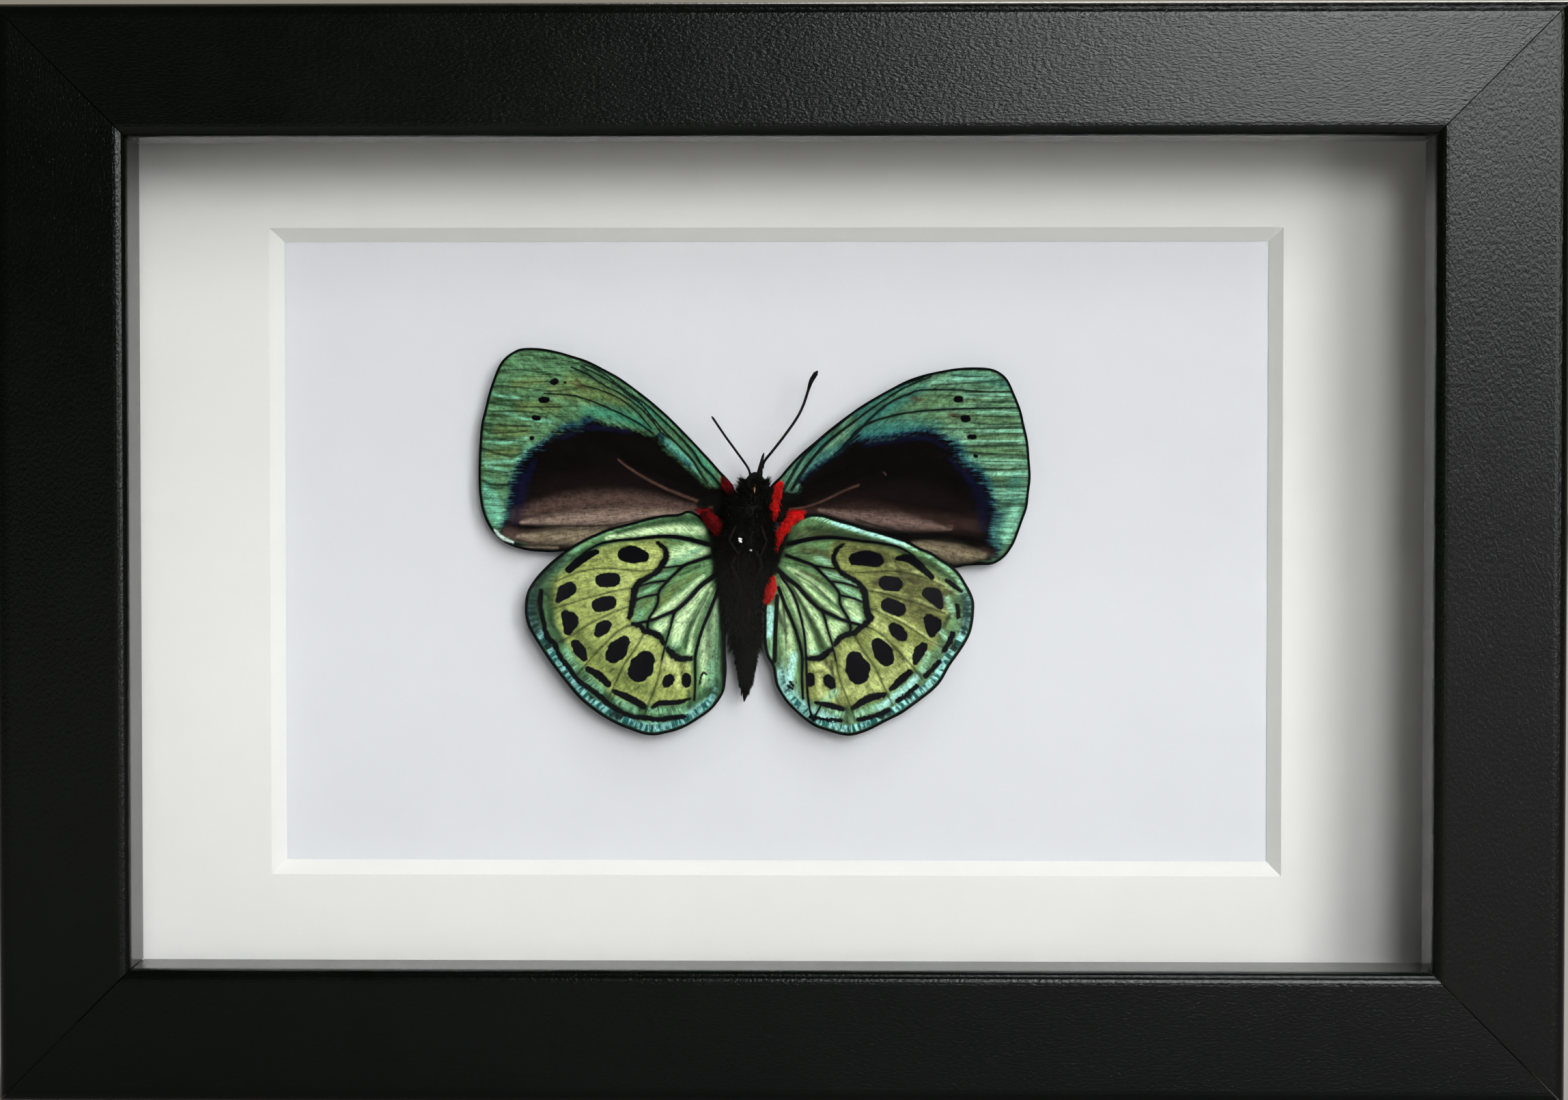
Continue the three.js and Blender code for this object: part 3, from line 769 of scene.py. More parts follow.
FOREWING_RIGHT = WingPlan(
    outline=(
        (2.3, 12.0), (3.8, 13.9), (4.8, 15.1), (6.1, 16.4), (7.4, 17.5), (8.8, 18.7), (10.6, 20.1),
        (12.4, 21.4), (14.2, 22.5), (16.0, 23.5), (17.8, 24.4), (19.6, 25.0), (21.4, 25.4), (23.2, 25.7),
        (25.0, 25.8), (26.8, 25.7), (27.9, 25.3), (28.8, 24.5), (29.5, 23.1), (30.3, 21.1), (30.7, 19.4),
        (31.1, 17.6), (31.3, 15.4), (31.4, 13.6), (31.2, 11.8), (31.0, 10.2), (30.4, 8.5), (29.9, 7.1),
        (29.4, 6.0), (28.5, 4.8), (27.2, 4.0), (25.6, 3.9), (24.1, 3.8), (22.9, 3.6), (20.0, 3.9),
        (12.0, 6.3), (5.0, 8.3), (3.0, 9.0),
    ),
    root=(3.0, 10.4),
    crisp={
        "vein": [
            swell(
                (0.4, 0.3, 0.2), 4.1, 12.3, 5.2, 14.3, 6.5, 16.2, 8.3, 18.0, 10.4, 19.7, 12.4, 21.3,
                14.6, 22.6, 17.0, 23.8, 19.4, 24.7,
            ),
            swell(
                (0.4, 0.3, 0.16), 4.9, 12.2, 6.2, 14.3, 7.8, 16.4, 9.6, 18.1, 11.6, 19.6, 13.6, 21.1,
                15.8, 22.6, 18.2, 23.9, 20.4, 24.8,
            ),
            swell(
                (0.3, 0.24, 0.14), 10.8, 17.3, 12.3, 18.7, 13.9, 20.4, 15.8, 21.9, 18.0, 22.9, 19.6, 23.3,
                23.3, 23.3, 26.1, 23.1, 29.4, 23.1,
            ),
            swell(
                (0.3, 0.22, 0.16), 11.6, 18.2, 12.5, 19.1, 14.2, 19.9, 16.8, 20.6, 19.6, 21.0, 23.3, 21.2,
                26.9, 21.3, 30.3, 21.3,
            ),
            swell((0.14, 0.2), 12.5, 18.3, 11.0, 17.2, 9.6, 16.1),
            swell((0.14, 0.26, 0.2), 26.6, 6.2, 23.2, 6.5, 20.5, 6.9, 17.8, 7.4, 15.0, 8.1, 12.0, 9.0),
        ],
        "spot": [
            blob(23.41, 22.27, 1.05, 0.72), blob(24.17, 20.12, 1.1, 0.8), blob(24.89, 18.12, 1.05, 0.55),
            blob(25.3, 16.0, 0.48, 0.42), even(0.14, 22.7, 20.4, 23.6, 20.3),
        ],
    },
    soft={
        "line": [
            even(0.36, 20.4, 23.8, 25.1, 24.1, 28.7, 24.4), even(0.26, 25.0, 22.1, 29.9, 21.9),
            even(0.26, 26.1, 20.4, 30.3, 20.3), even(0.36, 24.7, 19.7, 27.5, 19.5, 30.5, 19.6),
            even(0.4, 20.4, 19.0, 25.0, 19.0, 27.8, 19.1, 30.6, 19.1), even(0.28, 24.0, 18.6, 30.6, 18.4),
            swell((0.3, 0.56, 0.5), 23.2, 17.1, 26.9, 17.1, 30.9, 17.2),
            even(0.42, 23.8, 16.4, 27.0, 16.2, 30.8, 16.1), even(0.26, 26.0, 15.4, 31.0, 15.3),
            even(0.46, 25.6, 14.6, 28.6, 14.5, 31.2, 14.6), even(0.26, 26.0, 13.7, 31.2, 13.6),
            even(0.44, 26.1, 12.7, 28.6, 12.6, 31.2, 12.6), even(0.26, 27.0, 11.7, 31.0, 11.7),
            even(0.46, 26.9, 10.8, 28.9, 10.7, 31.0, 10.7), even(0.26, 21.5, 25.1, 24.5, 24.8, 28.2, 24.9),
            even(0.3, 23.8, 22.8, 29.5, 22.5),
        ],
        "teal": [
            swell((1.6, 3.6, 4.0, 2.6), 11.6, 18.3, 13.6, 18.8, 17.0, 19.2, 21.0, 19.2),
            swell((1.2, 3.0, 2.8, 2.0), 12.4, 19.4, 14.6, 20.8, 16.6, 21.8, 19.5, 23.6),
            swell((0.8, 1.3, 1.0), 4.4, 13.0, 6.0, 15.4, 9.0, 18.2),
            swell((1.0, 1.9, 1.2), 6.6, 14.6, 8.4, 15.9, 10.6, 17.0),
            swell((0.9, 1.2, 1.0), 12.0, 20.4, 15.0, 22.5, 19.0, 24.4),
            swell((2.0, 2.4, 2.2), 23.0, 24.7, 26.0, 24.7, 28.6, 23.9),
            swell((3.0, 4.4, 4.0), 29.8, 13.6, 29.3, 10.0, 28.2, 7.0),
            even(2.4, 23.0, 17.6, 25.0, 15.2, 27.0, 12.6),
        ],
        "mint": [
            swell((0.4, 0.9, 0.5), 4.3, 12.7, 5.0, 14.1, 6.6, 16.2),
            swell((0.4, 0.9, 0.7), 5.5, 12.4, 7.0, 14.6, 10.4, 16.9),
            even(0.8, 20.6, 24.2, 23.5, 24.5, 27.6, 24.7), even(0.7, 24.0, 22.7, 29.0, 22.7),
            even(0.6, 25.6, 20.8, 30.0, 20.8), even(0.6, 25.5, 18.7, 30.4, 18.8),
            even(0.9, 24.6, 15.6, 27.6, 15.3, 31.0, 15.3), even(0.7, 26.4, 14.0, 31.0, 14.0),
            even(1.6, 26.8, 11.8, 30.8, 11.8), swell((2.0, 2.6, 1.6), 29.7, 10.2, 29.2, 8.4, 28.6, 6.8),
            even(0.5, 23.4, 17.6, 30.6, 17.7),
        ],
        "olive": [
            swell((2.2, 3.0, 2.4), 16.8, 22.2, 20.5, 22.3, 25.5, 22.2),
            swell((1.0, 2.2, 2.2, 1.6), 15.6, 19.9, 20.0, 20.1, 25.0, 20.1, 29.5, 20.0),
            even(2.0, 24.8, 17.9, 29.6, 18.2), even(1.8, 25.0, 16.6, 30.2, 16.6),
            even(1.4, 26.2, 13.4, 30.0, 13.3), even(2.6, 27.4, 4.4, 29.4, 6.6),
            even(3.0, 17.0, 21.6, 22.5, 22.2),
        ],
        "blue": [
            even(2.2, 20.0, 18.4, 22.6, 17.4, 24.2, 15.4, 26.2, 13.4, 27.0, 11.0),
            even(4.4, 27.4, 9.6, 27.3, 7.8, 27.1, 6.2),
            even(1.8, 6.0, 13.3, 8.0, 15.0, 10.6, 16.8, 12.2, 17.8),
            even(1.6, 12.2, 17.9, 16.0, 18.4, 19.6, 18.8),
        ],
        "taupe": [swell((0.6, 2.0, 2.8, 2.0, 0.4), 8.0, 10.0, 12.0, 9.3, 15.5, 8.9, 19.2, 8.4, 22.6, 7.9)],
        "tan": [swell((1.2, 2.9, 3.0, 1.2), 18.5, 6.2, 21.2, 5.6, 23.6, 5.2, 26.2, 5.0)],
        "brown": [
            swell((1.0, 2.6, 3.2, 2.8), 6.0, 9.8, 12.0, 10.2, 18.0, 9.2, 25.5, 8.2),
            even(1.5, 26.2, 5.6, 27.2, 5.0),
        ],
        "dim": [swell((2.0, 4.4, 4.6, 3.0), 7.0, 10.8, 14.0, 11.6, 20.0, 11.4, 25.6, 9.6)],
        # dark hair at the wing root together with painted shade where the wing meets the body
        "root_hair_and_shade": [even(3.2, 1.8, 12.2, 2.6, 11.0, 3.4, 9.6), even(1.3, 3.6, 11.4, 5.4, 11.4)],
        "navy": [
            swell((0.8, 1.8, 2.2, 1.6), 22.4, 15.8, 25.0, 13.0, 26.0, 10.8, 26.0, 8.2),
            even(0.9, 13.0, 17.2, 19.6, 18.0, 22.0, 16.8),
        ],
        "pale_vein": [
            even(0.34, 4.7, 10.1, 6.7, 10.4, 8.8, 11.2, 10.6, 12.1, 12.4, 12.8),
            even(0.25, 15.1, 14.2, 15.4, 13.9), even(0.4, 22.3, 8.3, 22.7, 8.2),
        ],
        "red": [
            swell((1.5, 1.7, 1.4, 0.8), 3.3, 13.0, 3.0, 11.8, 2.8, 10.3, 2.7, 9.5),
            swell((0.9, 1.6, 1.0), 6.2, 9.7, 4.6, 9.3, 3.4, 8.2),
        ],
        "rust": [even(0.8, 22.5, 20.6, 23.3, 20.4), even(0.7, 18.2, 22.4, 19.2, 22.2)],
    },
    patch={
        "dark": (
            (3.6, 12.4), (4.6, 12.0), (5.6, 12.1), (5.9, 13.0), (6.7, 13.9), (7.5, 14.5), (8.8, 15.4),
            (9.7, 15.9), (10.6, 16.6), (11.0, 17.2), (12.1, 17.6), (13.3, 17.7), (14.8, 17.8), (16.0, 18.0),
            (17.1, 18.2), (18.7, 18.5), (20.0, 18.7), (21.1, 18.2), (22.1, 17.6), (23.1, 16.8),
            (23.2, 15.9), (24.1, 15.0), (25.2, 14.3), (25.9, 13.4), (26.6, 12.3), (26.8, 11.2),
            (27.2, 10.0), (27.2, 9.1), (26.8, 8.2), (26.6, 7.3), (26.8, 6.4), (27.4, 5.6), (27.0, 4.6),
            (24.0, 3.2), (20.0, 2.0), (3.0, 6.0), (1.0, 9.0), (2.0, 11.6),
        ),
    },
)

LEFT_HIND_VEINS = [
    swell(
        (0.5, 0.3, 0.16), -4.4, 6.3, -6.3, 6.8, -7.8, 7.1, -9.3, 7.2, -10.9, 7.1, -12.4, 6.9, -13.9, 6.8,
        -15.4, 6.6, -16.6, 6.3, -18.2, 5.4,
    ),
    swell(
        (0.36, 0.26, 0.24), -4.2, 5.0, -4.8, 4.8, -6.0, 4.4, -7.1, 4.0, -8.1, 3.1, -8.9, 2.3, -9.9, 1.1,
        -10.0, 0.0, -10.4, -0.9, -11.0, -1.9, -11.2, -2.9, -11.0, -3.4,
    ),
    even(0.16, -7.1, 4.0, -8.6, 3.8, -9.6, 3.7), even(0.18, -8.9, 2.3, -10.7, 2.1, -12.0, 1.7),
    even(0.18, -10.0, 0.8, -11.5, 0.5, -12.5, 0.1),
    swell(
        (0.5, 0.36, 0.22), -3.3, 3.3, -4.2, 2.5, -5.3, 1.7, -6.3, 0.6, -7.2, -0.3, -8.1, -1.0, -9.3, -1.5,
        -10.2, -1.9, -11.2, -2.2, -12.1, -2.4, -12.9, -2.6,
    ),
    swell((0.3, 0.18, 0.14), -8.1, -1.0, -8.4, -1.9, -8.7, -3.1, -9.2, -4.8, -9.6, -6.5),
    swell(
        (0.34, 0.28, 0.2), -3.3, 1.4, -4.2, -0.9, -5.0, -2.8, -5.6, -4.7, -5.9, -6.2, -5.9, -7.7,
        -5.9, -9.2, -6.0, -10.9,
    ),
]

LEFT_HIND_RIBS = [
    even(0.34, -9.6, 3.6, -11.5, 3.4, -13.9, 3.5, -15.7, 3.7, -17.5, 3.5, -19.2, 3.1, -21.4, 2.2),
    even(0.34, -12.4, 1.5, -13.9, 1.3, -15.4, 1.0, -16.9, 0.6, -18.4, 0.2, -19.9, -0.3, -21.5, -0.8),
    even(0.34, -13.1, -0.5, -14.2, -0.9, -15.4, -1.4, -16.9, -2.1, -18.4, -3.0, -19.6, -3.8, -21.2, -4.6),
    even(0.4, -13.0, -2.6, -13.9, -3.0, -14.8, -3.6, -15.7, -4.5, -16.6, -5.4, -17.7, -6.6, -19.0, -8.2),
    even(0.42, -11.2, -2.9, -11.6, -3.6, -12.2, -4.7, -13.0, -5.9, -13.9, -7.2, -14.8, -9.2, -15.8, -11.3),
    even(0.42, -9.6, -6.5, -9.9, -8.1, -10.4, -9.7, -11.2, -11.6, -11.7, -13.2),
]

LEFT_HIND_LINE = even(
    0.46, -23.0, 1.1, -23.1, -0.6, -22.7, -2.4, -22.4, -3.8, -21.5, -4.8, -20.9, -6.2, -19.9, -7.4,
    -18.9, -8.8, -17.5, -9.8, -16.3, -10.7, -15.6, -11.4, -14.5, -12.1, -13.1, -12.7, -12.1, -12.9,
    -10.9, -13.0, -9.7, -13.1, -8.4, -12.9, -7.2, -12.8,
)

HINDWING_LEFT = WingPlan(
    outline=(
        (-6.3, 10.0), (-7.8, 9.7), (-9.3, 9.6), (-10.9, 9.3), (-12.4, 8.9), (-13.9, 8.5), (-15.4, 8.1),
        (-16.9, 7.5), (-18.4, 6.8), (-19.9, 5.9), (-21.5, 4.7), (-22.6, 3.7), (-23.6, 2.6), (-24.4, 1.4),
        (-24.7, 0.5), (-24.8, -0.4), (-24.8, -1.5), (-24.5, -2.8), (-23.9, -3.9), (-23.2, -5.0),
        (-22.3, -6.4), (-21.2, -7.9), (-20.0, -9.4), (-18.8, -10.8), (-17.5, -11.9), (-16.2, -12.8),
        (-14.6, -13.7), (-13.1, -14.3), (-11.6, -14.8), (-10.4, -14.9), (-9.3, -14.7), (-8.1, -14.4),
        (-6.9, -13.9), (-5.6, -13.1), (-4.3, -12.2), (-3.4, -11.2), (-2.7, -10.0), (-2.5, -8.8),
        (-2.4, -7.4), (-2.5, -5.4), (-2.5, -3.1), (-2.5, -0.9), (-2.3, 1.1), (-2.2, 2.9), (-2.2, 4.7),
        (-2.6, 6.4), (-3.9, 8.4),
    ),
    root=(-2.4, 4.6),
    crisp={
        "vein": LEFT_HIND_VEINS,
        "spot": [
            swell((1.5, 1.95, 1.3), -13.7, 5.2, -12.9, 5.2, -11.7, 5.0), blob(-15.58, 2.38, 2.6, 1.45, 3),
            blob(-16.0, -0.3, 2.6, 1.5, 14), swell((1.0, 1.5, 1.2), -16.6, -3.5, -16.2, -3.0, -15.8, -2.7),
            swell((1.7, 2.2, 1.3), -15.0, -6.0, -14.5, -5.4, -13.8, -4.5),
            swell((2.3, 2.75, 2.0), -12.2, -7.8, -11.8, -7.2, -11.4, -6.5),
            swell((0.9, 1.2, 1.0), -9.1, -9.1, -8.9, -8.8, -8.7, -8.6), blob(-6.89, -8.75, 0.95, 1.5),
            swell((0.5, 0.9, 0.8), -16.8, 5.5, -18.3, 4.8, -19.9, 3.5),
            swell((1.4, 1.6, 0.6), -19.8, 1.4, -20.4, 1.0, -21.1, 0.1),
            swell((1.0, 1.9, 0.9), -20.3, -1.5, -19.8, -2.2, -20.0, -3.3),
            swell((0.9, 1.3, 0.7), -19.2, -4.7, -18.7, -5.5, -18.2, -6.3),
            swell((0.6, 0.85, 0.7), -17.8, -7.5, -16.5, -8.3, -15.6, -9.2),
            swell((0.5, 0.75, 0.7), -14.9, -10.0, -13.3, -10.7, -11.7, -11.6),
            swell((0.25, 0.5, 0.5, 0.2), -10.7, -11.8, -9.9, -11.3, -7.8, -11.2, -6.5, -10.8),
        ],
        "band": [
            swell(
                (0.3, 0.55, 0.6, 0.45, 0.5, 0.75, 0.55, 0.35), -10.0, 6.5, -9.3, 5.8, -9.1, 5.0, -9.5, 4.1,
                -10.2, 3.2, -11.2, 2.6, -12.2, 2.0, -12.6, 1.1, -12.8, 0.0, -13.0, -1.0, -13.2, -1.9,
            ),
            swell(
                (0.3, 0.45, 0.6, 0.4), -12.8, -2.5, -11.9, -2.8, -11.5, -3.3, -10.6, -3.5, -9.8, -4.0,
                -9.4, -4.7,
            ),
            swell((0.5, 0.7, 0.5), -8.9, -5.3, -8.3, -6.0, -7.5, -6.4, -6.5, -6.3),
        ],
        "rim": [LEFT_HIND_LINE],
        "fleck": [even(0.16, -5.3, -8.4, -5.0, -7.9, -4.7, -8.1), even(0.14, -5.4, -9.2, -5.3, -8.6)],
    },
    soft={
        "pale": [
            swell((1.3, 1.9, 1.8, 1.3, 0.9), -5.0, 7.8, -7.8, 8.0, -10.9, 7.8, -13.0, 7.5, -15.6, 7.0),
            swell((1.5, 2.6, 2.4, 1.2), -4.5, 5.8, -6.5, 5.5, -8.3, 5.1, -9.0, 4.2),
            swell((0.6, 1.2, 1.5, 1.0), -5.0, 2.8, -7.0, 0.9, -9.0, -0.8, -10.7, -1.8),
            swell((0.7, 1.6, 2.5, 2.3, 1.2), -4.3, 2.1, -5.9, 0.2, -7.3, -1.9, -7.9, -3.6, -8.1, -4.7),
            even(1.9, -9.3, -2.3, -9.9, -3.0),
            swell((0.5, 0.8, 1.0), -4.1, 1.4, -5.3, -0.9, -6.3, -3.3, -6.6, -5.9),
            swell((0.8, 2.0, 2.3, 2.2, 1.2), -3.5, 0.9, -4.1, -1.6, -4.6, -4.4, -4.7, -7.0, -4.8, -9.2),
            even(2.0, -9.4, -6.6, -8.2, -7.2), even(0.9, -6.8, -7.0, -6.7, -7.3),
            even(0.8, -7.8, -7.6, -7.8, -9.6),
        ],
        "halo": [
            even(2.6, -13.3, 2.3, -14.4, 1.2), even(2.6, -14.0, -1.2, -13.4, -2.6),
            even(2.8, -13.8, -4.0, -11.2, -4.6), even(3.4, -14.2, 5.0, -11.0, 4.9),
            even(3.0, -16.6, 2.3, -14.6, 2.4), even(3.0, -16.8, -0.5, -14.8, 0.0),
            even(2.9, -16.6, -3.4, -15.8, -2.8), even(3.4, -14.9, -6.0, -14.2, -4.8),
            even(4.2, -12.1, -7.6, -11.5, -6.5), even(1.9, -9.1, -9.0, -8.8, -8.6),
            even(1.6, -6.9, -9.3, -6.9, -8.4),
        ],
        "deep": [
            swell((2.0, 1.9, 1.5, 1.0), -4.6, 9.0, -7.2, 9.1, -9.9, 8.7, -12.4, 8.2, -14.5, 7.6),
            even(3.0, -3.4, -9.2, -4.4, -11.2), even(2.2, -21.9, -2.0, -21.9, 1.2),
            even(1.3, -7.9, -5.4, -8.9, -5.2), swell((0.6, 1.2, 1.2), -14.8, 6.8, -17.2, 6.0, -19.6, 4.7),
            swell((0.5, 0.9, 1.2, 0.9), -4.4, 1.0, -5.6, -1.3, -6.6, -3.3, -7.0, -5.2),
            swell((1.2, 1.6, 1.6, 1.0), -3.0, 0.5, -2.9, -4.0, -2.9, -8.5, -3.6, -10.6),
            even(0.6, -8.4, 2.9, -10.2, 1.9, -11.8, 1.2), even(0.5, -5.4, 3.9, -7.6, 2.9),
            even(1.4, -8.6, -11.9, -14.0, -11.6, -18.0, -8.7), even(0.8, -6.6, -9.9, -6.4, -12.6),
            even(1.3, -20.6, -4.4, -22.0, -2.0, -22.2, 1.0),
        ],
        "slate": [swell((3.4, 3.8, 3.4, 2.4), -20.6, 5.0, -23.2, 2.0, -24.0, -0.8, -23.5, -3.2)],
        "mint": [
            swell((0.4, 0.5, 0.7, 0.7), -6.6, 9.8, -9.6, 9.4, -12.4, 8.7, -15.4, 7.8, -17.5, 6.9),
            even(0.8, -18.7, 6.1, -20.2, 4.7, -21.4, 3.5), even(1.3, -20.3, -5.3, -19.4, -7.2),
            even(1.2, -17.7, -8.8, -16.3, -9.9), even(1.2, -14.6, -11.0, -12.6, -12.1),
            even(1.2, -10.9, -12.1, -7.0, -12.2), even(1.6, -4.2, -7.0, -4.3, -9.0),
            swell((0.8, 1.6, 1.2), -5.0, 6.0, -7.5, 4.7, -8.9, 4.2),
            even(0.8, -8.3, 3.2, -10.6, 2.6, -11.6, 2.2), even(0.8, -10.3, 1.7, -12.0, 0.6),
            even(1.0, -11.9, -1.2, -12.4, -2.1), even(1.0, -7.6, -4.6, -8.6, -5.2),
        ],
        "bronze": [
            swell((0.8, 1.7, 1.9, 1.0), -5.6, 3.1, -8.0, 1.7, -9.4, 0.2, -10.4, -1.2),
            even(1.4, -15.2, -7.6, -16.4, -6.3), even(1.1, -12.3, -9.6, -11.4, -9.3),
            even(0.7, -9.3, 6.6, -7.4, 6.3), even(1.0, -10.9, 0.2, -11.8, -0.4),
            even(1.2, -21.4, 2.6, -22.0, 1.4), even(0.9, -7.5, -7.2, -7.4, -8.0),
            swell(
                (1.6, 3.0, 3.0, 2.4, 1.2), -10.6, -10.2, -13.4, -9.0, -15.6, -7.0, -17.8, -4.9, -20.4, -0.8,
            ),
            even(1.3, -13.6, 6.1, -15.8, 5.4),
        ],
        "rib": LEFT_HIND_RIBS,
        "red": [swell((0.8, 1.7, 1.2), -3.0, 7.8, -3.9, 8.9, -5.0, 9.6)],
        "frost": [even(1.8, -4.6, -11.4, -7.0, -13.2), even(1.4, -9.0, -13.9, -12.0, -13.9)],
        # dark hair at the wing root together with painted shade where the wing meets the body
        "root_hair_and_shade": [
            swell((7.6, 6.6, 4.3, 3.6), -2.2, 7.6, -2.2, 5.5, -2.2, 3.6, -2.2, 1.6),
            swell((3.4, 3.0, 2.3, 1.5), -2.2, 1.4, -2.2, -2.2, -2.2, -5.8, -2.4, -9.0),
        ],
    },
    patch={
        "gold": (
            (-9.9, 7.0), (-8.9, 5.9), (-8.7, 4.9), (-9.3, 3.8), (-11.2, 2.4), (-12.3, 1.6), (-12.7, -0.6),
            (-12.9, -2.3), (-11.5, -3.1), (-9.7, -4.4), (-9.0, -5.6), (-8.2, -6.3), (-6.5, -6.6),
            (-6.2, -10.6), (-8.5, -11.3), (-11.0, -11.6), (-14.5, -10.6), (-17.3, -8.0), (-19.2, -6.0),
            (-20.9, -3.6), (-22.0, -1.0), (-22.0, 1.6), (-20.4, 3.6), (-17.0, 5.8), (-14.5, 6.5),
            (-12.0, 6.9),
        ),
    },
)

LEFT_GOLD = Stroke(tuple((x, z, 0.0) for x, z in HINDWING_LEFT.patch["gold"]))

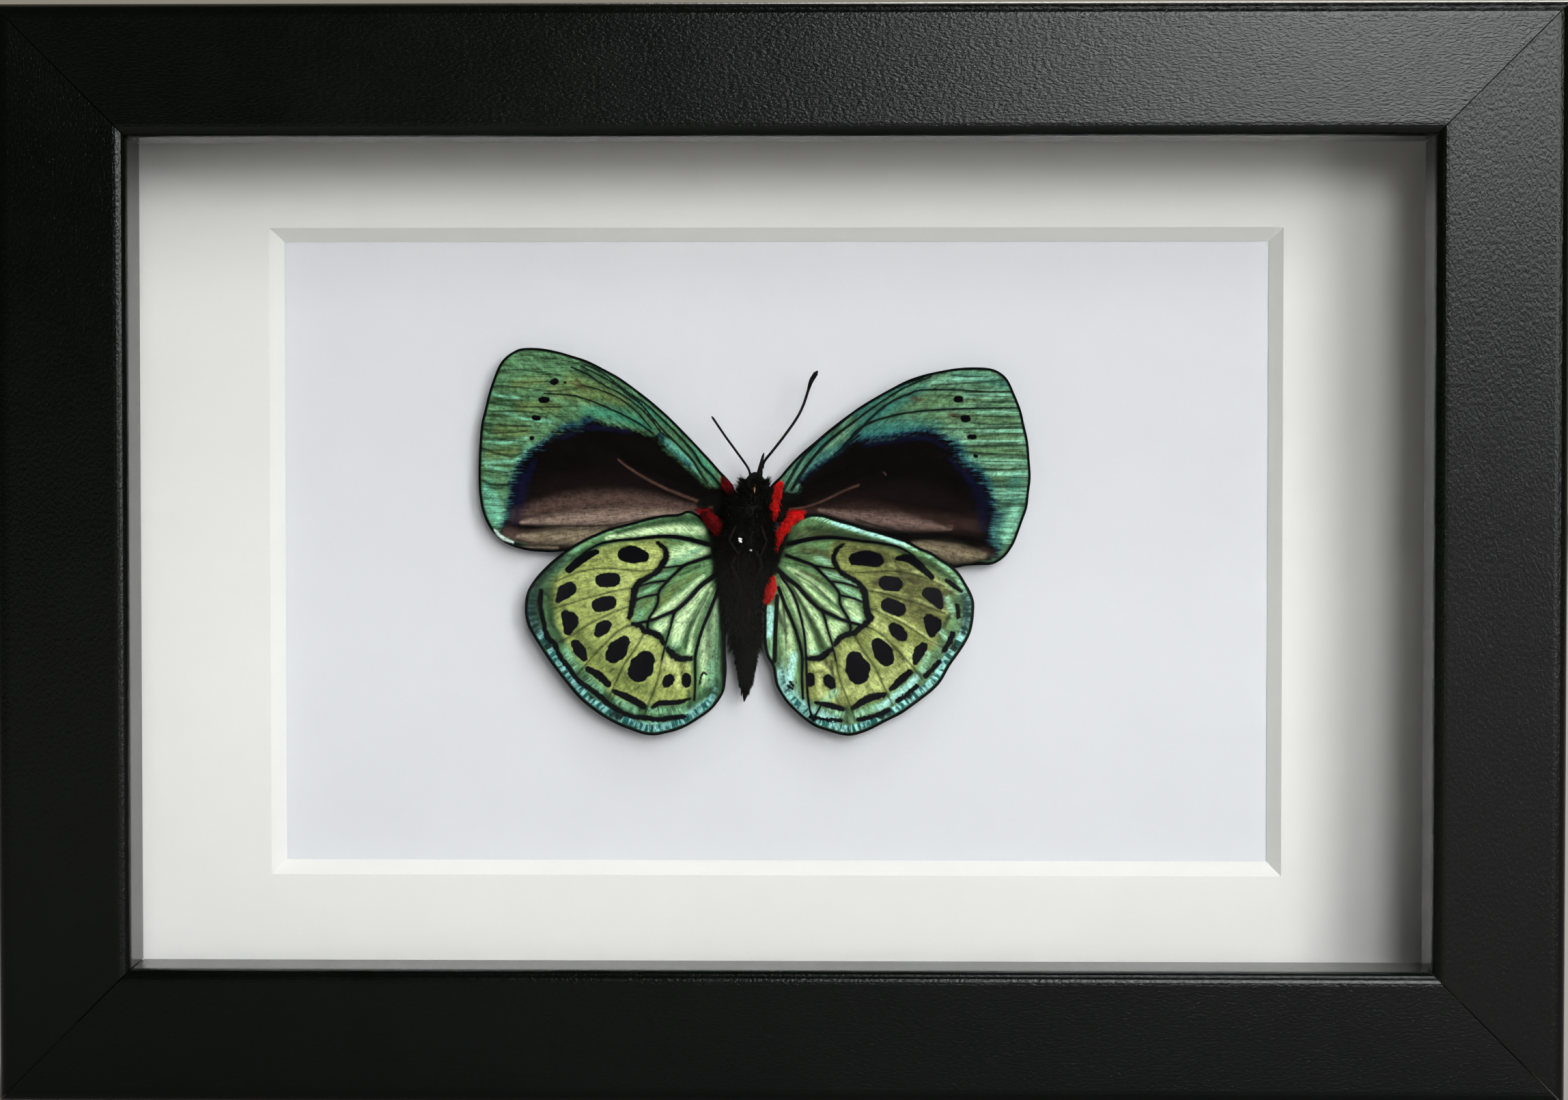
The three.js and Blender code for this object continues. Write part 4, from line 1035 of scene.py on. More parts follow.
HINDWING_RIGHT = WingPlan(
    outline=(
        (6.3, 9.5), (7.2, 9.7), (8.4, 9.6), (9.9, 9.1), (11.4, 8.7), (12.9, 8.2), (14.4, 7.8), (16.0, 7.3),
        (17.5, 6.8), (19.0, 6.0), (20.2, 5.5), (21.4, 4.7), (22.5, 4.0), (23.4, 3.1), (24.1, 2.0),
        (24.7, 0.9), (25.0, -0.1), (25.0, -1.0), (24.9, -2.2), (24.6, -3.5), (24.0, -4.7), (23.2, -5.9),
        (22.3, -7.2), (21.4, -8.8), (20.5, -9.8), (19.4, -10.7), (18.2, -11.6), (16.9, -12.5),
        (15.3, -13.3), (13.8, -14.1), (12.6, -14.6), (11.4, -14.9), (10.2, -14.8), (8.8, -14.4),
        (7.6, -14.0), (6.6, -13.4), (5.4, -12.4), (4.2, -11.2), (3.4, -10.0), (3.0, -9.2), (2.8, -8.0),
        (2.6, -7.1), (2.0, -6.0), (1.7, -4.3), (1.7, -2.5), (1.7, -1.2), (1.8, 0.2), (1.9, 2.2), (2.0, 4.0),
        (2.4, 6.0), (3.6, 7.9), (5.0, 9.1),
    ),
    root=(2.2, 4.8),
    crisp={
        "vein": [across(v) for v in LEFT_HIND_VEINS]
        + [
            swell(
                (0.26, 0.2, 0.2), 3.6, 2.8, 5.1, 0.5, 6.1, -3.1, 6.4, -6.2, 6.5, -9.5, 6.8, -11.9,
                7.2, -13.2,
            ),
            even(0.16, 7.3, -12.9, 8.0, -11.6),
        ],
        "spot": [
            swell((1.3, 1.7, 1.5), 11.8, 4.7, 13.0, 4.8, 14.2, 4.6), blob(15.76, 2.0, 2.5, 1.5, -8),
            blob(16.05, -0.6, 2.7, 1.5, -22), swell((1.1, 1.5, 1.2), 16.1, -2.9, 16.5, -3.3, 17.0, -3.8),
            swell((1.3, 2.1, 1.7), 14.3, -4.7, 14.9, -5.6, 15.3, -6.3),
            swell((1.9, 2.8, 2.3), 11.8, -6.5, 12.1, -7.4, 12.2, -8.0),
            swell((1.0, 1.25, 0.95), 8.8, -8.6, 9.0, -8.9, 9.2, -9.2), blob(6.87, -8.67, 0.85, 1.5),
            swell((0.5, 0.85, 0.85, 0.5), 16.6, 4.8, 17.7, 4.8, 18.9, 4.0, 20.3, 2.7),
            swell((0.3, 0.45, 0.2), 21.9, 2.4, 22.7, 1.8, 23.6, 1.1),
            swell((1.3, 1.7, 0.7), 19.9, 0.9, 20.6, 0.6, 21.2, -0.5),
            swell((1.2, 2.0, 0.9), 20.0, -2.0, 20.4, -2.6, 20.3, -3.5),
            swell((0.9, 1.2, 0.6), 19.4, -5.0, 18.9, -5.6, 18.5, -6.7),
            swell((0.6, 0.8, 0.45), 17.9, -7.8, 16.9, -8.7, 15.8, -9.7),
            swell((0.5, 0.8, 0.5), 15.1, -10.3, 13.4, -10.7, 11.6, -11.8),
            swell((0.5, 0.6, 0.25), 10.4, -11.9, 9.0, -11.5, 7.4, -11.2),
        ],
        "band": [
            swell(
                (0.25, 0.4, 0.45, 0.4, 0.45, 0.7, 0.6, 0.8), 10.6, 6.4, 9.8, 5.8, 9.4, 4.9, 9.7, 4.0,
                10.2, 3.3, 11.1, 2.7, 12.2, 2.0, 12.8, 1.1, 13.0, 0.2, 13.1, -0.9, 13.5, -1.8,
            ),
            swell(
                (0.5, 0.5, 0.6, 0.35), 13.3, -2.2, 12.3, -3.0, 11.7, -3.5, 10.5, -3.8, 9.9, -4.3, 9.6, -4.8,
            ),
            swell((0.4, 0.7, 0.35), 9.2, -5.3, 8.6, -5.8, 7.8, -6.3, 6.4, -6.3),
        ],
        "rim": [
            even(0.4, 23.2, -0.4, 23.2, -1.7), even(0.5, 22.6, -3.6, 22.2, -4.6, 21.7, -5.4),
            even(0.5, 21.1, -6.7, 20.4, -7.5, 19.6, -8.2), even(0.42, 18.6, -9.4, 17.6, -10.3, 16.5, -11.0),
            even(0.42, 15.5, -12.0, 14.0, -12.7, 12.2, -13.1),
            even(0.3, 10.3, -13.2, 8.6, -13.1, 6.9, -12.8),
        ],
        "fleck": [even(0.2, 4.3, -9.3, 4.9, -9.7), even(0.2, 4.6, -8.9, 5.0, -9.4)],
    },
    soft={
        "pale": [
            swell((0.5, 1.3, 1.0, 0.7), 4.4, 3.7, 6.0, 2.8, 8.1, 1.4, 9.6, 0.1),
            swell((0.6, 0.8, 0.8), 6.0, 2.0, 8.4, -0.2, 10.4, -1.7),
            swell((0.6, 1.3, 1.8, 1.8), 3.6, 2.9, 4.9, 0.4, 5.8, -1.6, 6.7, -4.4, 7.0, -5.6),
            swell((0.5, 1.2, 1.3, 1.0), 5.2, 1.6, 7.0, -0.9, 8.2, -2.9, 8.9, -4.6),
            even(1.4, 9.1, -2.5, 10.4, -2.6),
            swell((0.6, 1.8, 2.2, 2.2, 1.8), 3.3, 1.6, 3.9, -0.9, 4.3, -3.9, 4.5, -6.4, 4.4, -9.3),
            even(1.4, 7.2, -7.2, 8.4, -7.2, 9.4, -7.9), even(1.0, 7.9, -8.2, 7.9, -10.4),
            even(2.0, 11.2, -0.2, 12.0, -1.9), even(1.7, 9.3, -2.5, 9.8, -3.8),
            even(0.8, 11.0, 8.4, 14.0, 7.5, 17.6, 6.3),
            swell((0.5, 0.8, 0.5), 15.0, 4.2, 17.6, 3.5, 20.4, 2.5, 23.2, 0.9),
            even(0.5, 14.0, 1.3, 17.2, 0.8, 20.6, -0.6, 22.6, -1.6),
            even(0.6, 14.4, -1.0, 17.4, -2.3, 20.0, -4.1, 22.2, -5.9),
        ],
        "halo": [
            even(2.2, 13.6, -1.8, 15.0, -3.0), even(1.8, 8.4, -10.2, 9.4, -10.8),
            even(3.2, 14.4, -4.8, 15.3, -6.3), even(4.4, 11.7, -6.3, 12.2, -8.2),
            even(2.6, 14.0, -9.2, 16.4, -8.0), even(2.2, 10.6, -9.8, 12.6, -10.0),
            even(2.4, 17.8, -5.4, 17.6, -6.9),
        ],
        "deep": [
            swell((1.1, 1.9, 1.6, 1.1), 6.6, 8.1, 10.0, 7.6, 14.0, 6.7, 16.6, 5.9),
            swell((0.9, 1.2, 0.8), 16.6, 5.6, 20.0, 4.1, 23.0, 2.2),
            swell((0.5, 0.8, 1.0, 0.8), 5.0, 1.3, 6.5, -1.4, 7.6, -3.6, 8.2, -5.1),
            even(0.4, 3.8, 0.0, 4.1, -3.0, 4.2, -5.4), even(0.5, 5.2, 3.1, 7.0, 2.0, 9.0, 0.2),
            even(1.1, 3.4, -1.2, 4.1, -3.4), even(0.6, 9.2, -6.6, 9.6, -10.2, 10.6, -12.2),
            even(0.9, 21.2, -3.7, 22.4, -1.2), even(0.9, 10.8, -11.6, 10.9, -13.4),
        ],
        "slate": [swell((1.4, 2.0, 1.2), 23.9, 0.4, 24.2, -1.4, 23.8, -3.4)],
        "mint": [
            swell((0.7, 1.2, 1.5, 1.2, 0.6), 7.0, 9.4, 10.0, 8.7, 13.4, 7.7, 15.6, 7.0, 18.7, 5.7),
            even(0.7, 19.6, 5.3, 22.0, 3.7, 23.8, 1.6), even(1.1, 7.6, 4.8, 8.9, 4.3),
            even(0.8, 8.3, 3.2, 9.9, 2.7, 11.8, 1.9), even(1.0, 9.6, 1.9, 11.2, 1.1, 12.4, 0.2),
            even(0.9, 11.6, -1.9, 12.5, -2.3), even(1.2, 22.0, 0.3, 22.5, -1.0),
            even(1.0, 21.4, -3.3, 21.8, -4.0), even(1.3, 19.8, -5.8, 19.3, -7.6),
            even(1.3, 18.4, -8.9, 16.1, -10.4), even(1.2, 14.9, -11.5, 12.0, -12.5),
            even(1.3, 10.2, -12.3, 7.2, -12.1), swell((1.4, 2.2, 1.6), 3.6, -8.0, 4.0, -10.4, 5.6, -12.4),
            even(1.4, 9.6, -10.0, 8.4, -11.0), even(1.5, 18.0, -9.2, 16.6, -10.2),
            swell((1.0, 1.7, 1.3), 2.5, -0.8, 2.4, -2.6, 2.5, -5.8), even(0.9, 6.6, -5.4, 7.6, -5.7),
        ],
        "bronze": [
            swell((3.0, 6.4, 7.4, 6.0), 10.4, 6.4, 14.6, 4.6, 17.8, 2.4, 21.4, 0.2),
            swell((4.0, 5.4, 4.0), 14.6, 2.0, 18.0, 0.0, 20.6, -2.2), even(1.2, 17.2, -6.4, 16.2, -5.2),
            even(0.9, 8.6, -6.7, 9.6, -8.4), even(0.7, 5.8, 3.4, 8.0, 2.4), even(0.5, 3.9, -0.4, 4.2, -4.6),
            even(2.2, 5.6, 7.4, 9.0, 7.5), even(1.8, 6.0, 5.8, 8.6, 5.2),
        ],
        "rib": [across(v) for v in LEFT_HIND_RIBS],
        "red": [
            swell((0.9, 1.6, 1.2, 0.6), 6.0, 9.6, 4.4, 9.0, 3.2, 7.8, 2.8, 5.6),
            even(1.5, 2.5, 2.5, 2.4, 0.6),
        ],
        # dark hair at the wing root together with painted shade where the wing meets the body
        "root_hair_and_shade": [
            swell((7.4, 8.0, 6.4, 4.0), 2.2, 9.4, 2.1, 7.4, 2.0, 5.6, 2.0, 3.8),
            swell((4.0, 1.7, 1.0), 2.0, 3.8, 1.9, 2.0, 1.7, 0.2), even(0.7, 3.2, 0.6, 3.0, -3.0, 2.9, -6.6),
        ],
        "frost": [
            swell((2.0, 3.2, 2.8, 1.8), 3.6, -8.0, 4.6, -10.6, 6.4, -12.4, 9.4, -13.2),
            even(1.5, 2.4, -0.9, 2.3, -3.6), even(1.3, 5.0, -6.0, 4.6, -8.6),
            even(1.0, 9.5, 8.8, 12.0, 8.1, 14.5, 7.3, 17.5, 6.4),
            even(1.1, 14.6, -11.8, 17.4, -9.7, 18.6, -8.4),
        ],
    },
    patch={"gold": tuple((x, z) for x, z, _ in across(LEFT_GOLD).path)},
)


# ---------------------------------------------------------------- wing finishes


@dataclass(frozen=True)
class WingScales:
    """Rows of tiny scales, shared by all four wings."""

    ink: Colour = srgb(3, 3, 8)
    rim: Colour = srgb(4, 8, 8)
    # colour of the dark root hair and of the painted shade where the wing meets the body
    root_hair_and_shade: Colour = srgb(7, 9, 7)
    red: Colour = srgb(176, 10, 12)
    metal: float = 0.22
    gloss: float = 0.03

    def streaks(self, tree: Tree, fine: float) -> tuple[Val, Val]:
        """Streaks that fan out from the wing's root, coarse and fine.

        Args:
            tree: the material's tree.
            fine: how many fine streaks there are to a turn.

        Returns:
            The coarse and the fine streaks.
        """
        fan, out = tree.mark("fan"), tree.mark("out")
        coarse = tree.noise(tree.vector(fan * fine * 0.3, out * 0.16), 1.0, 3, 0.6)
        thin = tree.noise(tree.vector(fan * fine, out * 0.45), 1.0, 2, 0.6)
        return coarse, thin

    def finish(self, tree: Tree, colour: Val, dark: Val) -> bpy.types.Material:
        """Adds the scales' powdery grain and ends the material.

        Args:
            tree: the material's tree.
            colour: the painted colour.
            dark: where black ink covers the wing.

        Returns:
            The finished material.
        """
        place = tree.place()
        grain = tree.noise(place, 4300, 2, 0.7)
        patchy = tree.noise(place, 1900, 3, 0.65)
        fine = tree.noise(tree.vector(tree.mark("fan") * 58, tree.mark("out") * 0.8), 1.0, 2, 0.6)
        powder = grain.rise(0.3, 0.7) * 0.5 + patchy.rise(0.3, 0.7) * 0.5 + fine.rise(0.3, 0.7) * 0.5
        colour = tree.shade(colour, 0.3 + powder)
        thin = tree.noise(tree.vector(tree.mark("fan") * 150, tree.mark("out") * 2.2), 1.0, 2)
        return tree.surface({
            "Base Color": colour,
            "Roughness": 0.5 + dark * 0.25 + (grain - 0.5) * 0.3,
            "Metallic": (1 - dark) * self.metal,
            "Specular IOR Level": self.gloss,
            "Normal": tree.bump(thin * 0.7 + grain * 0.5, 0.02, 0.5),
        })


@dataclass(frozen=True)
class ForewingScales(WingScales):
    """Green streaked scales round a velvety black and brown patch."""

    name: str = "forewing_scales"
    streak: float = 95.0
    ground: Colour = srgb(84, 126, 88)
    shadow: Colour = srgb(42, 70, 44)
    teal: Colour = srgb(48, 116, 92)
    mint: Colour = srgb(118, 186, 156)
    olive: Colour = srgb(98, 114, 60)
    row: Colour = srgb(30, 46, 26)
    taupe: Colour = srgb(128, 110, 98)
    tan: Colour = srgb(122, 110, 90)
    umber: Colour = srgb(72, 56, 50)
    glow: Colour = srgb(112, 156, 112)
    line: Colour = srgb(18, 32, 20)
    rust: Colour = srgb(70, 48, 30)
    fringe: Colour = srgb(22, 74, 82)
    fringe_deep: Colour = srgb(8, 13, 46)
    navy: Colour = srgb(8, 12, 38)
    wisp: Colour = srgb(24, 70, 92)
    vein: Colour = srgb(6, 12, 11)
    vein_shadow: Colour = srgb(14, 44, 40)
    glint: Colour = srgb(186, 206, 198)
    velvet: tuple[Colour, Colour] = (srgb(3, 1, 1), srgb(9, 5, 5))
    dim: Colour = srgb(15, 9, 8)
    pale_vein: Colour = srgb(96, 70, 58)

    def material(self) -> bpy.types.Material:
        """Makes the forewing material."""
        tree = Tree(self.name)
        mark = tree.mark
        place = tree.place()
        x, z = mark("across"), mark("up")
        coarse, thin = self.streaks(tree, self.streak)
        rows = tree.noise(tree.vector(x * 0.2, z * 2.4 + x * 0.05), 1.0, 4, 0.62)
        hairlines = tree.noise(tree.vector(x * 0.3, z * 7.0), 1.0, 3, 0.6)
        far = mark("far")
        shine = (thin * 0.5 + hairlines * 0.5).rise(0.35, 0.6)
        lightness = (rows * 0.5 + hairlines * 0.5).rise(0.42, 0.68) * far
        crumbs = tree.noise(place, 2300, 3)
        ragged = (hairlines - 0.5) * (0.8 + far * 3.6) + (thin - 0.5) * 1.6 + (crumbs - 0.5) * 1.5
        dark = mark("dark") + ragged * 0.8
        inside = dark.rise(-0.5, 0.35)
        fringe = (mark("blue") * 1.6).at_most(1.0)
        line = (mark("vein") + (thin - 0.5) * 0.16).rise(-0.06, 0.05)
        # the dark root hair together with painted shade where the wing meets the body
        root_hair_and_shade = (mark("root_hair_and_shade") * 2.4 + (thin - 0.5) * 0.8).at_least(0.0).at_most(1.0)
        wobble = (tree.noise(place, 3800, 2) - 0.5) * 0.26
        spot = (mark("spot") + wobble + (hairlines - 0.5) * 0.2).rise(-0.08, 0.06)
        edge = (0.3 - mark("edge") + wobble * 0.5).rise(-0.1, 0.08)
        colour = tree.layers(
            tree.blend(coarse.rise(0.34, 0.66), self.shadow, self.ground),
            (mark("olive") * (0.5 + rows * 0.6), self.olive),
            (mark("teal") * (0.45 + coarse * 0.8), self.teal),
            (mark("mint") * (0.3 + shine * 0.7), self.mint),
            (lightness * 0.5, tree.blend(mark("mint"), self.glow, self.mint)),
            ((1 - rows).rise(0.46, 0.66) * far * 0.6, self.row),
            ((1 - hairlines).rise(0.55, 0.7) * far * 0.55, self.row),
            (mark("line") * (0.6 + hairlines * 0.7), self.line),
            (mark("rust") * 0.8, self.rust),
            ((dark + 1.0).rise(-0.5, 0.9) * fringe * 0.8, self.fringe),
            ((dark + 0.4).rise(-0.4, 0.5) * fringe * 0.9, self.fringe_deep),
            (inside, self.patch(tree, thin)),
            (mark("navy") * (0.4 + thin * 0.5), self.navy),
            (mark("wisp") * thin.rise(0.4, 0.6) * 0.45, self.wisp),
            (mark("red") * (0.8 + thin * 0.8), self.red),
            ((mark("vein") + 0.4).rise(0.0, 0.45) * (1 - inside) * 0.35, self.vein_shadow),
            (line * (0.95 - inside * 0.3), self.vein),
            (root_hair_and_shade, self.root_hair_and_shade),
            (spot, self.ink),
            (edge, self.rim),
            ((mark("glint") * 1.6).at_most(1.0), self.glint),
        )
        return self.finish(tree, colour, spot.at_least(edge).at_least(inside))

    def patch(self, tree: Tree, thin: Val) -> Val:
        """The velvety patch: black above, brown and taupe towards the hind edge.

        Args:
            tree: the material's tree.
            thin: fine streaks.

        Returns:
            The patch's colour.
        """
        mark = tree.mark
        worn = 0.62 + thin.rise(0.3, 0.7) * 0.5
        return tree.layers(
            tree.blend(thin.rise(0.35, 0.75), *self.velvet),
            (mark("dim"), self.dim),
            (mark("brown") * (0.7 + thin * 0.5), self.umber),
            (mark("taupe") * worn, self.taupe),
            (mark("tan") * worn, self.tan),
            (mark("pale_vein") * (0.3 + thin * 0.7), self.pale_vein),
        )


@dataclass(frozen=True)
class HindwingScales(WingScales):
    """Yellow green scales with black spots and a blue green margin."""

    name: str = "hindwing_scales"
    gold: Colour = srgb(134, 146, 80)
    halo: Colour = srgb(162, 174, 104)
    ground: Colour = srgb(104, 146, 96)
    shadow: Colour = srgb(66, 96, 62)
    deep: Colour = srgb(32, 58, 34)
    pale: Colour = srgb(190, 218, 166)
    mint: Colour = srgb(116, 168, 130)
    bronze: Colour = srgb(88, 102, 52)
    margin: Colour = srgb(56, 88, 62)
    lunule: Colour = srgb(124, 180, 174)
    frost: Colour = srgb(140, 198, 180)
    lemon: Colour = srgb(192, 202, 132)
    slate: Colour = srgb(28, 44, 38)
    rib: Colour = srgb(36, 44, 14)
    gap: Colour = srgb(8, 30, 30)
    lunule_shade: Colour = srgb(26, 84, 80)
    streak: float = 44.0

    def material(self) -> bpy.types.Material:
        """Makes the hindwing material."""
        tree = Tree(self.name)
        mark = tree.mark
        place = tree.place()
        coarse, thin = self.streaks(tree, self.streak)
        edge, rear = mark("edge"), mark("rear")
        blotch = tree.noise(place, 1100, 3, 0.6)
        gold = mark("gold").rise(-0.5, 0.5)
        margin = (2.9 - edge).rise(0.2, 1.1) * (1 - gold)
        brushed = tree.noise(tree.vector(mark("along") * 5.0, edge * 0.7), 1.0, 2, 0.6) * rear
        brushed = (brushed + thin * (1 - rear)).rise(0.36, 0.62)
        rubbed = (blotch * 0.6 + thin * 0.6).rise(0.5, 0.66)
        yellow = tree.layers(
            self.gold,
            ((mark("halo") * 1.3).at_most(1.0) * (0.3 + blotch.rise(0.3, 0.6) * 0.7), self.halo),
            (mark("pale") * 0.7, self.lemon),
        )
        colour = tree.layers(
            tree.blend(coarse.rise(0.3, 0.7), self.shadow, self.ground),
            ((mark("pale") * 1.3).at_most(1.0) * (0.35 + thin.rise(0.3, 0.6) * 0.65), self.pale),
            (gold, yellow),
            (mark("bronze") * (0.45 + blotch.rise(0.3, 0.65) * 0.55), self.bronze),
            (margin * 0.85 * rear, self.margin),
            (mark("deep") * (0.6 + coarse * 0.6), self.deep),
            ((mark("mint") * 1.4).at_most(1.0) * (0.1 + brushed * 0.9), self.mint),
            ((mark("frost") * 1.5).at_most(1.0) * (0.4 + rubbed * 0.6), self.frost),
        )
        wobble = (tree.noise(place, 3400, 3, 0.6) - 0.5) * 0.34
        shadow = (mark("vein") + 0.5).rise(0.0, 0.5).at_least((mark("band") + 0.45).rise(0.0, 0.45))
        line = (mark("vein") + 0.03 + wobble * 0.4).rise(-0.07, 0.05)
        band = (mark("band").at_least(mark("rim")) + 0.06 + wobble * 1.8).rise(-0.08, 0.06)
        spot = (mark("spot").at_least(mark("fleck")) + 0.05 + wobble * 1.1).rise(-0.07, 0.07)
        outline = (0.34 - edge + wobble * 0.4).rise(-0.1, 0.08)
        ink = line.at_least(band).at_least(spot)
        # the dark root hair together with painted shade where the wing meets the body
        root_hair_and_shade = (mark("root_hair_and_shade") * 2.4 + (thin - 0.5) * 1.1).at_least(0.0).at_most(1.0)
        colour = tree.layers(
            self.border(tree, colour, edge),
            (mark("slate") * 0.9, self.slate),
            (mark("rib") * 0.95, self.rib),
            (shadow * 0.5, self.deep),
            (ink, self.ink),
            (mark("red") * (0.8 + thin * 0.8), self.red),
            (root_hair_and_shade, self.root_hair_and_shade),
            (outline, self.rim),
        )
        return self.finish(tree, colour, ink.at_least(outline).at_least(root_hair_and_shade))

    def border(self, tree: Tree, colour: Val, edge: Val) -> Val:
        """The row of blue green lunules inside the outer edge.

        Args:
            tree: the material's tree.
            colour: what lies under them.
            edge: how far in from the edge a point is.

        Returns:
            The colour with the lunules.
        """
        along = tree.mark("along")
        bars = tree.noise(tree.vector(along * 2.3, edge * 0.5), 1.0, 2, 0.6)
        breaks = tree.noise(tree.vector(along * 0.55, edge * 0.3), 1.0, 1)
        here = (edge.rise(0.3, 0.5) * (1 - edge.rise(1.05, 1.3))) * tree.mark("rear")
        lunule = tree.blend(bars.rise(0.42, 0.58), self.lunule_shade, self.lunule)
        return tree.layers(colour, (here * 0.92, self.gap), (here * breaks.rise(0.34, 0.42) * 0.95, lunule))


# ---------------------------------------------------------------- mesh making


def make_piece(
    name: str, points: np.ndarray, faces: Sequence[Sequence[int]], smooth: bool = True
) -> bpy.types.Object:
    """Makes a mesh object in the frame.

    Args:
        name: the piece's name.
        points: its points in mm in the frame.
        faces: its faces.
        smooth: whether it is shaded smooth.

    Returns:
        The object, in the scene.
    """
    mesh = bpy.data.meshes.new(name)
    mesh.from_pydata((points * MM).tolist(), [], [tuple(map(int, f)) for f in faces])
    mesh.polygons.foreach_set("use_smooth", [smooth] * len(mesh.polygons))
    mesh.update()
    piece = bpy.data.objects.new(name, mesh)
    bpy.context.scene.collection.objects.link(piece)
    return piece


def add_mark(piece: bpy.types.Object, name: str, numbers: np.ndarray) -> None:
    """Stores one number for each point of a mesh."""
    layer = piece.data.attributes.new(name, "FLOAT", "POINT")
    layer.data.foreach_set("value", np.asarray(numbers, np.float32))


def dress(piece: bpy.types.Object, material: bpy.types.Material, slot: str) -> None:
    """Gives a new piece its material and its body."""
    piece.data.materials.append(material)
    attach(piece, "root")


def tube(path: np.ndarray, radii: Sequence[float], sides: int) -> tuple[np.ndarray, list]:
    """A closed round tube along a path.

    Args:
        path: its middle line.
        radii: its radius at each point of the path.
        sides: how many sides it has.

    Returns:
        Its points and faces.
    """
    along = np.gradient(path, axis=0)
    along /= np.linalg.norm(along, axis=1)[:, None]
    first = np.cross(along, (0.0, 1.0, 0.12))
    first /= np.linalg.norm(first, axis=1)[:, None]
    second = np.cross(along, first)
    turn = np.linspace(0, 2 * math.pi, sides, endpoint=False)
    ring = first[:, None] * np.cos(turn)[:, None] + second[:, None] * np.sin(turn)[:, None]
    points = (path[:, None] + ring * np.asarray(radii)[:, None, None]).reshape(-1, 3)
    faces = []
    for i in range(len(path) - 1):
        for j in range(sides):
            k = (j + 1) % sides
            faces.append((i * sides + j, i * sides + k, (i + 1) * sides + k, (i + 1) * sides + j))
    faces.append(tuple(range(sides))[::-1])
    faces.append(tuple((len(path) - 1) * sides + j for j in range(sides)))
    return points, faces


def join_parts(parts: Sequence[tuple[np.ndarray, list]]) -> tuple[np.ndarray, list]:
    """Puts several sets of points and faces together.

    Args:
        parts: points and faces of each.

    Returns:
        All points and faces.
    """
    points, faces, count = [], [], 0
    for part_points, part_faces in parts:
        points.append(part_points)
        faces += [tuple(i + count for i in f) for f in part_faces]
        count += len(part_points)
    return np.vstack(points), faces


# ---------------------------------------------------------------- the butterfly


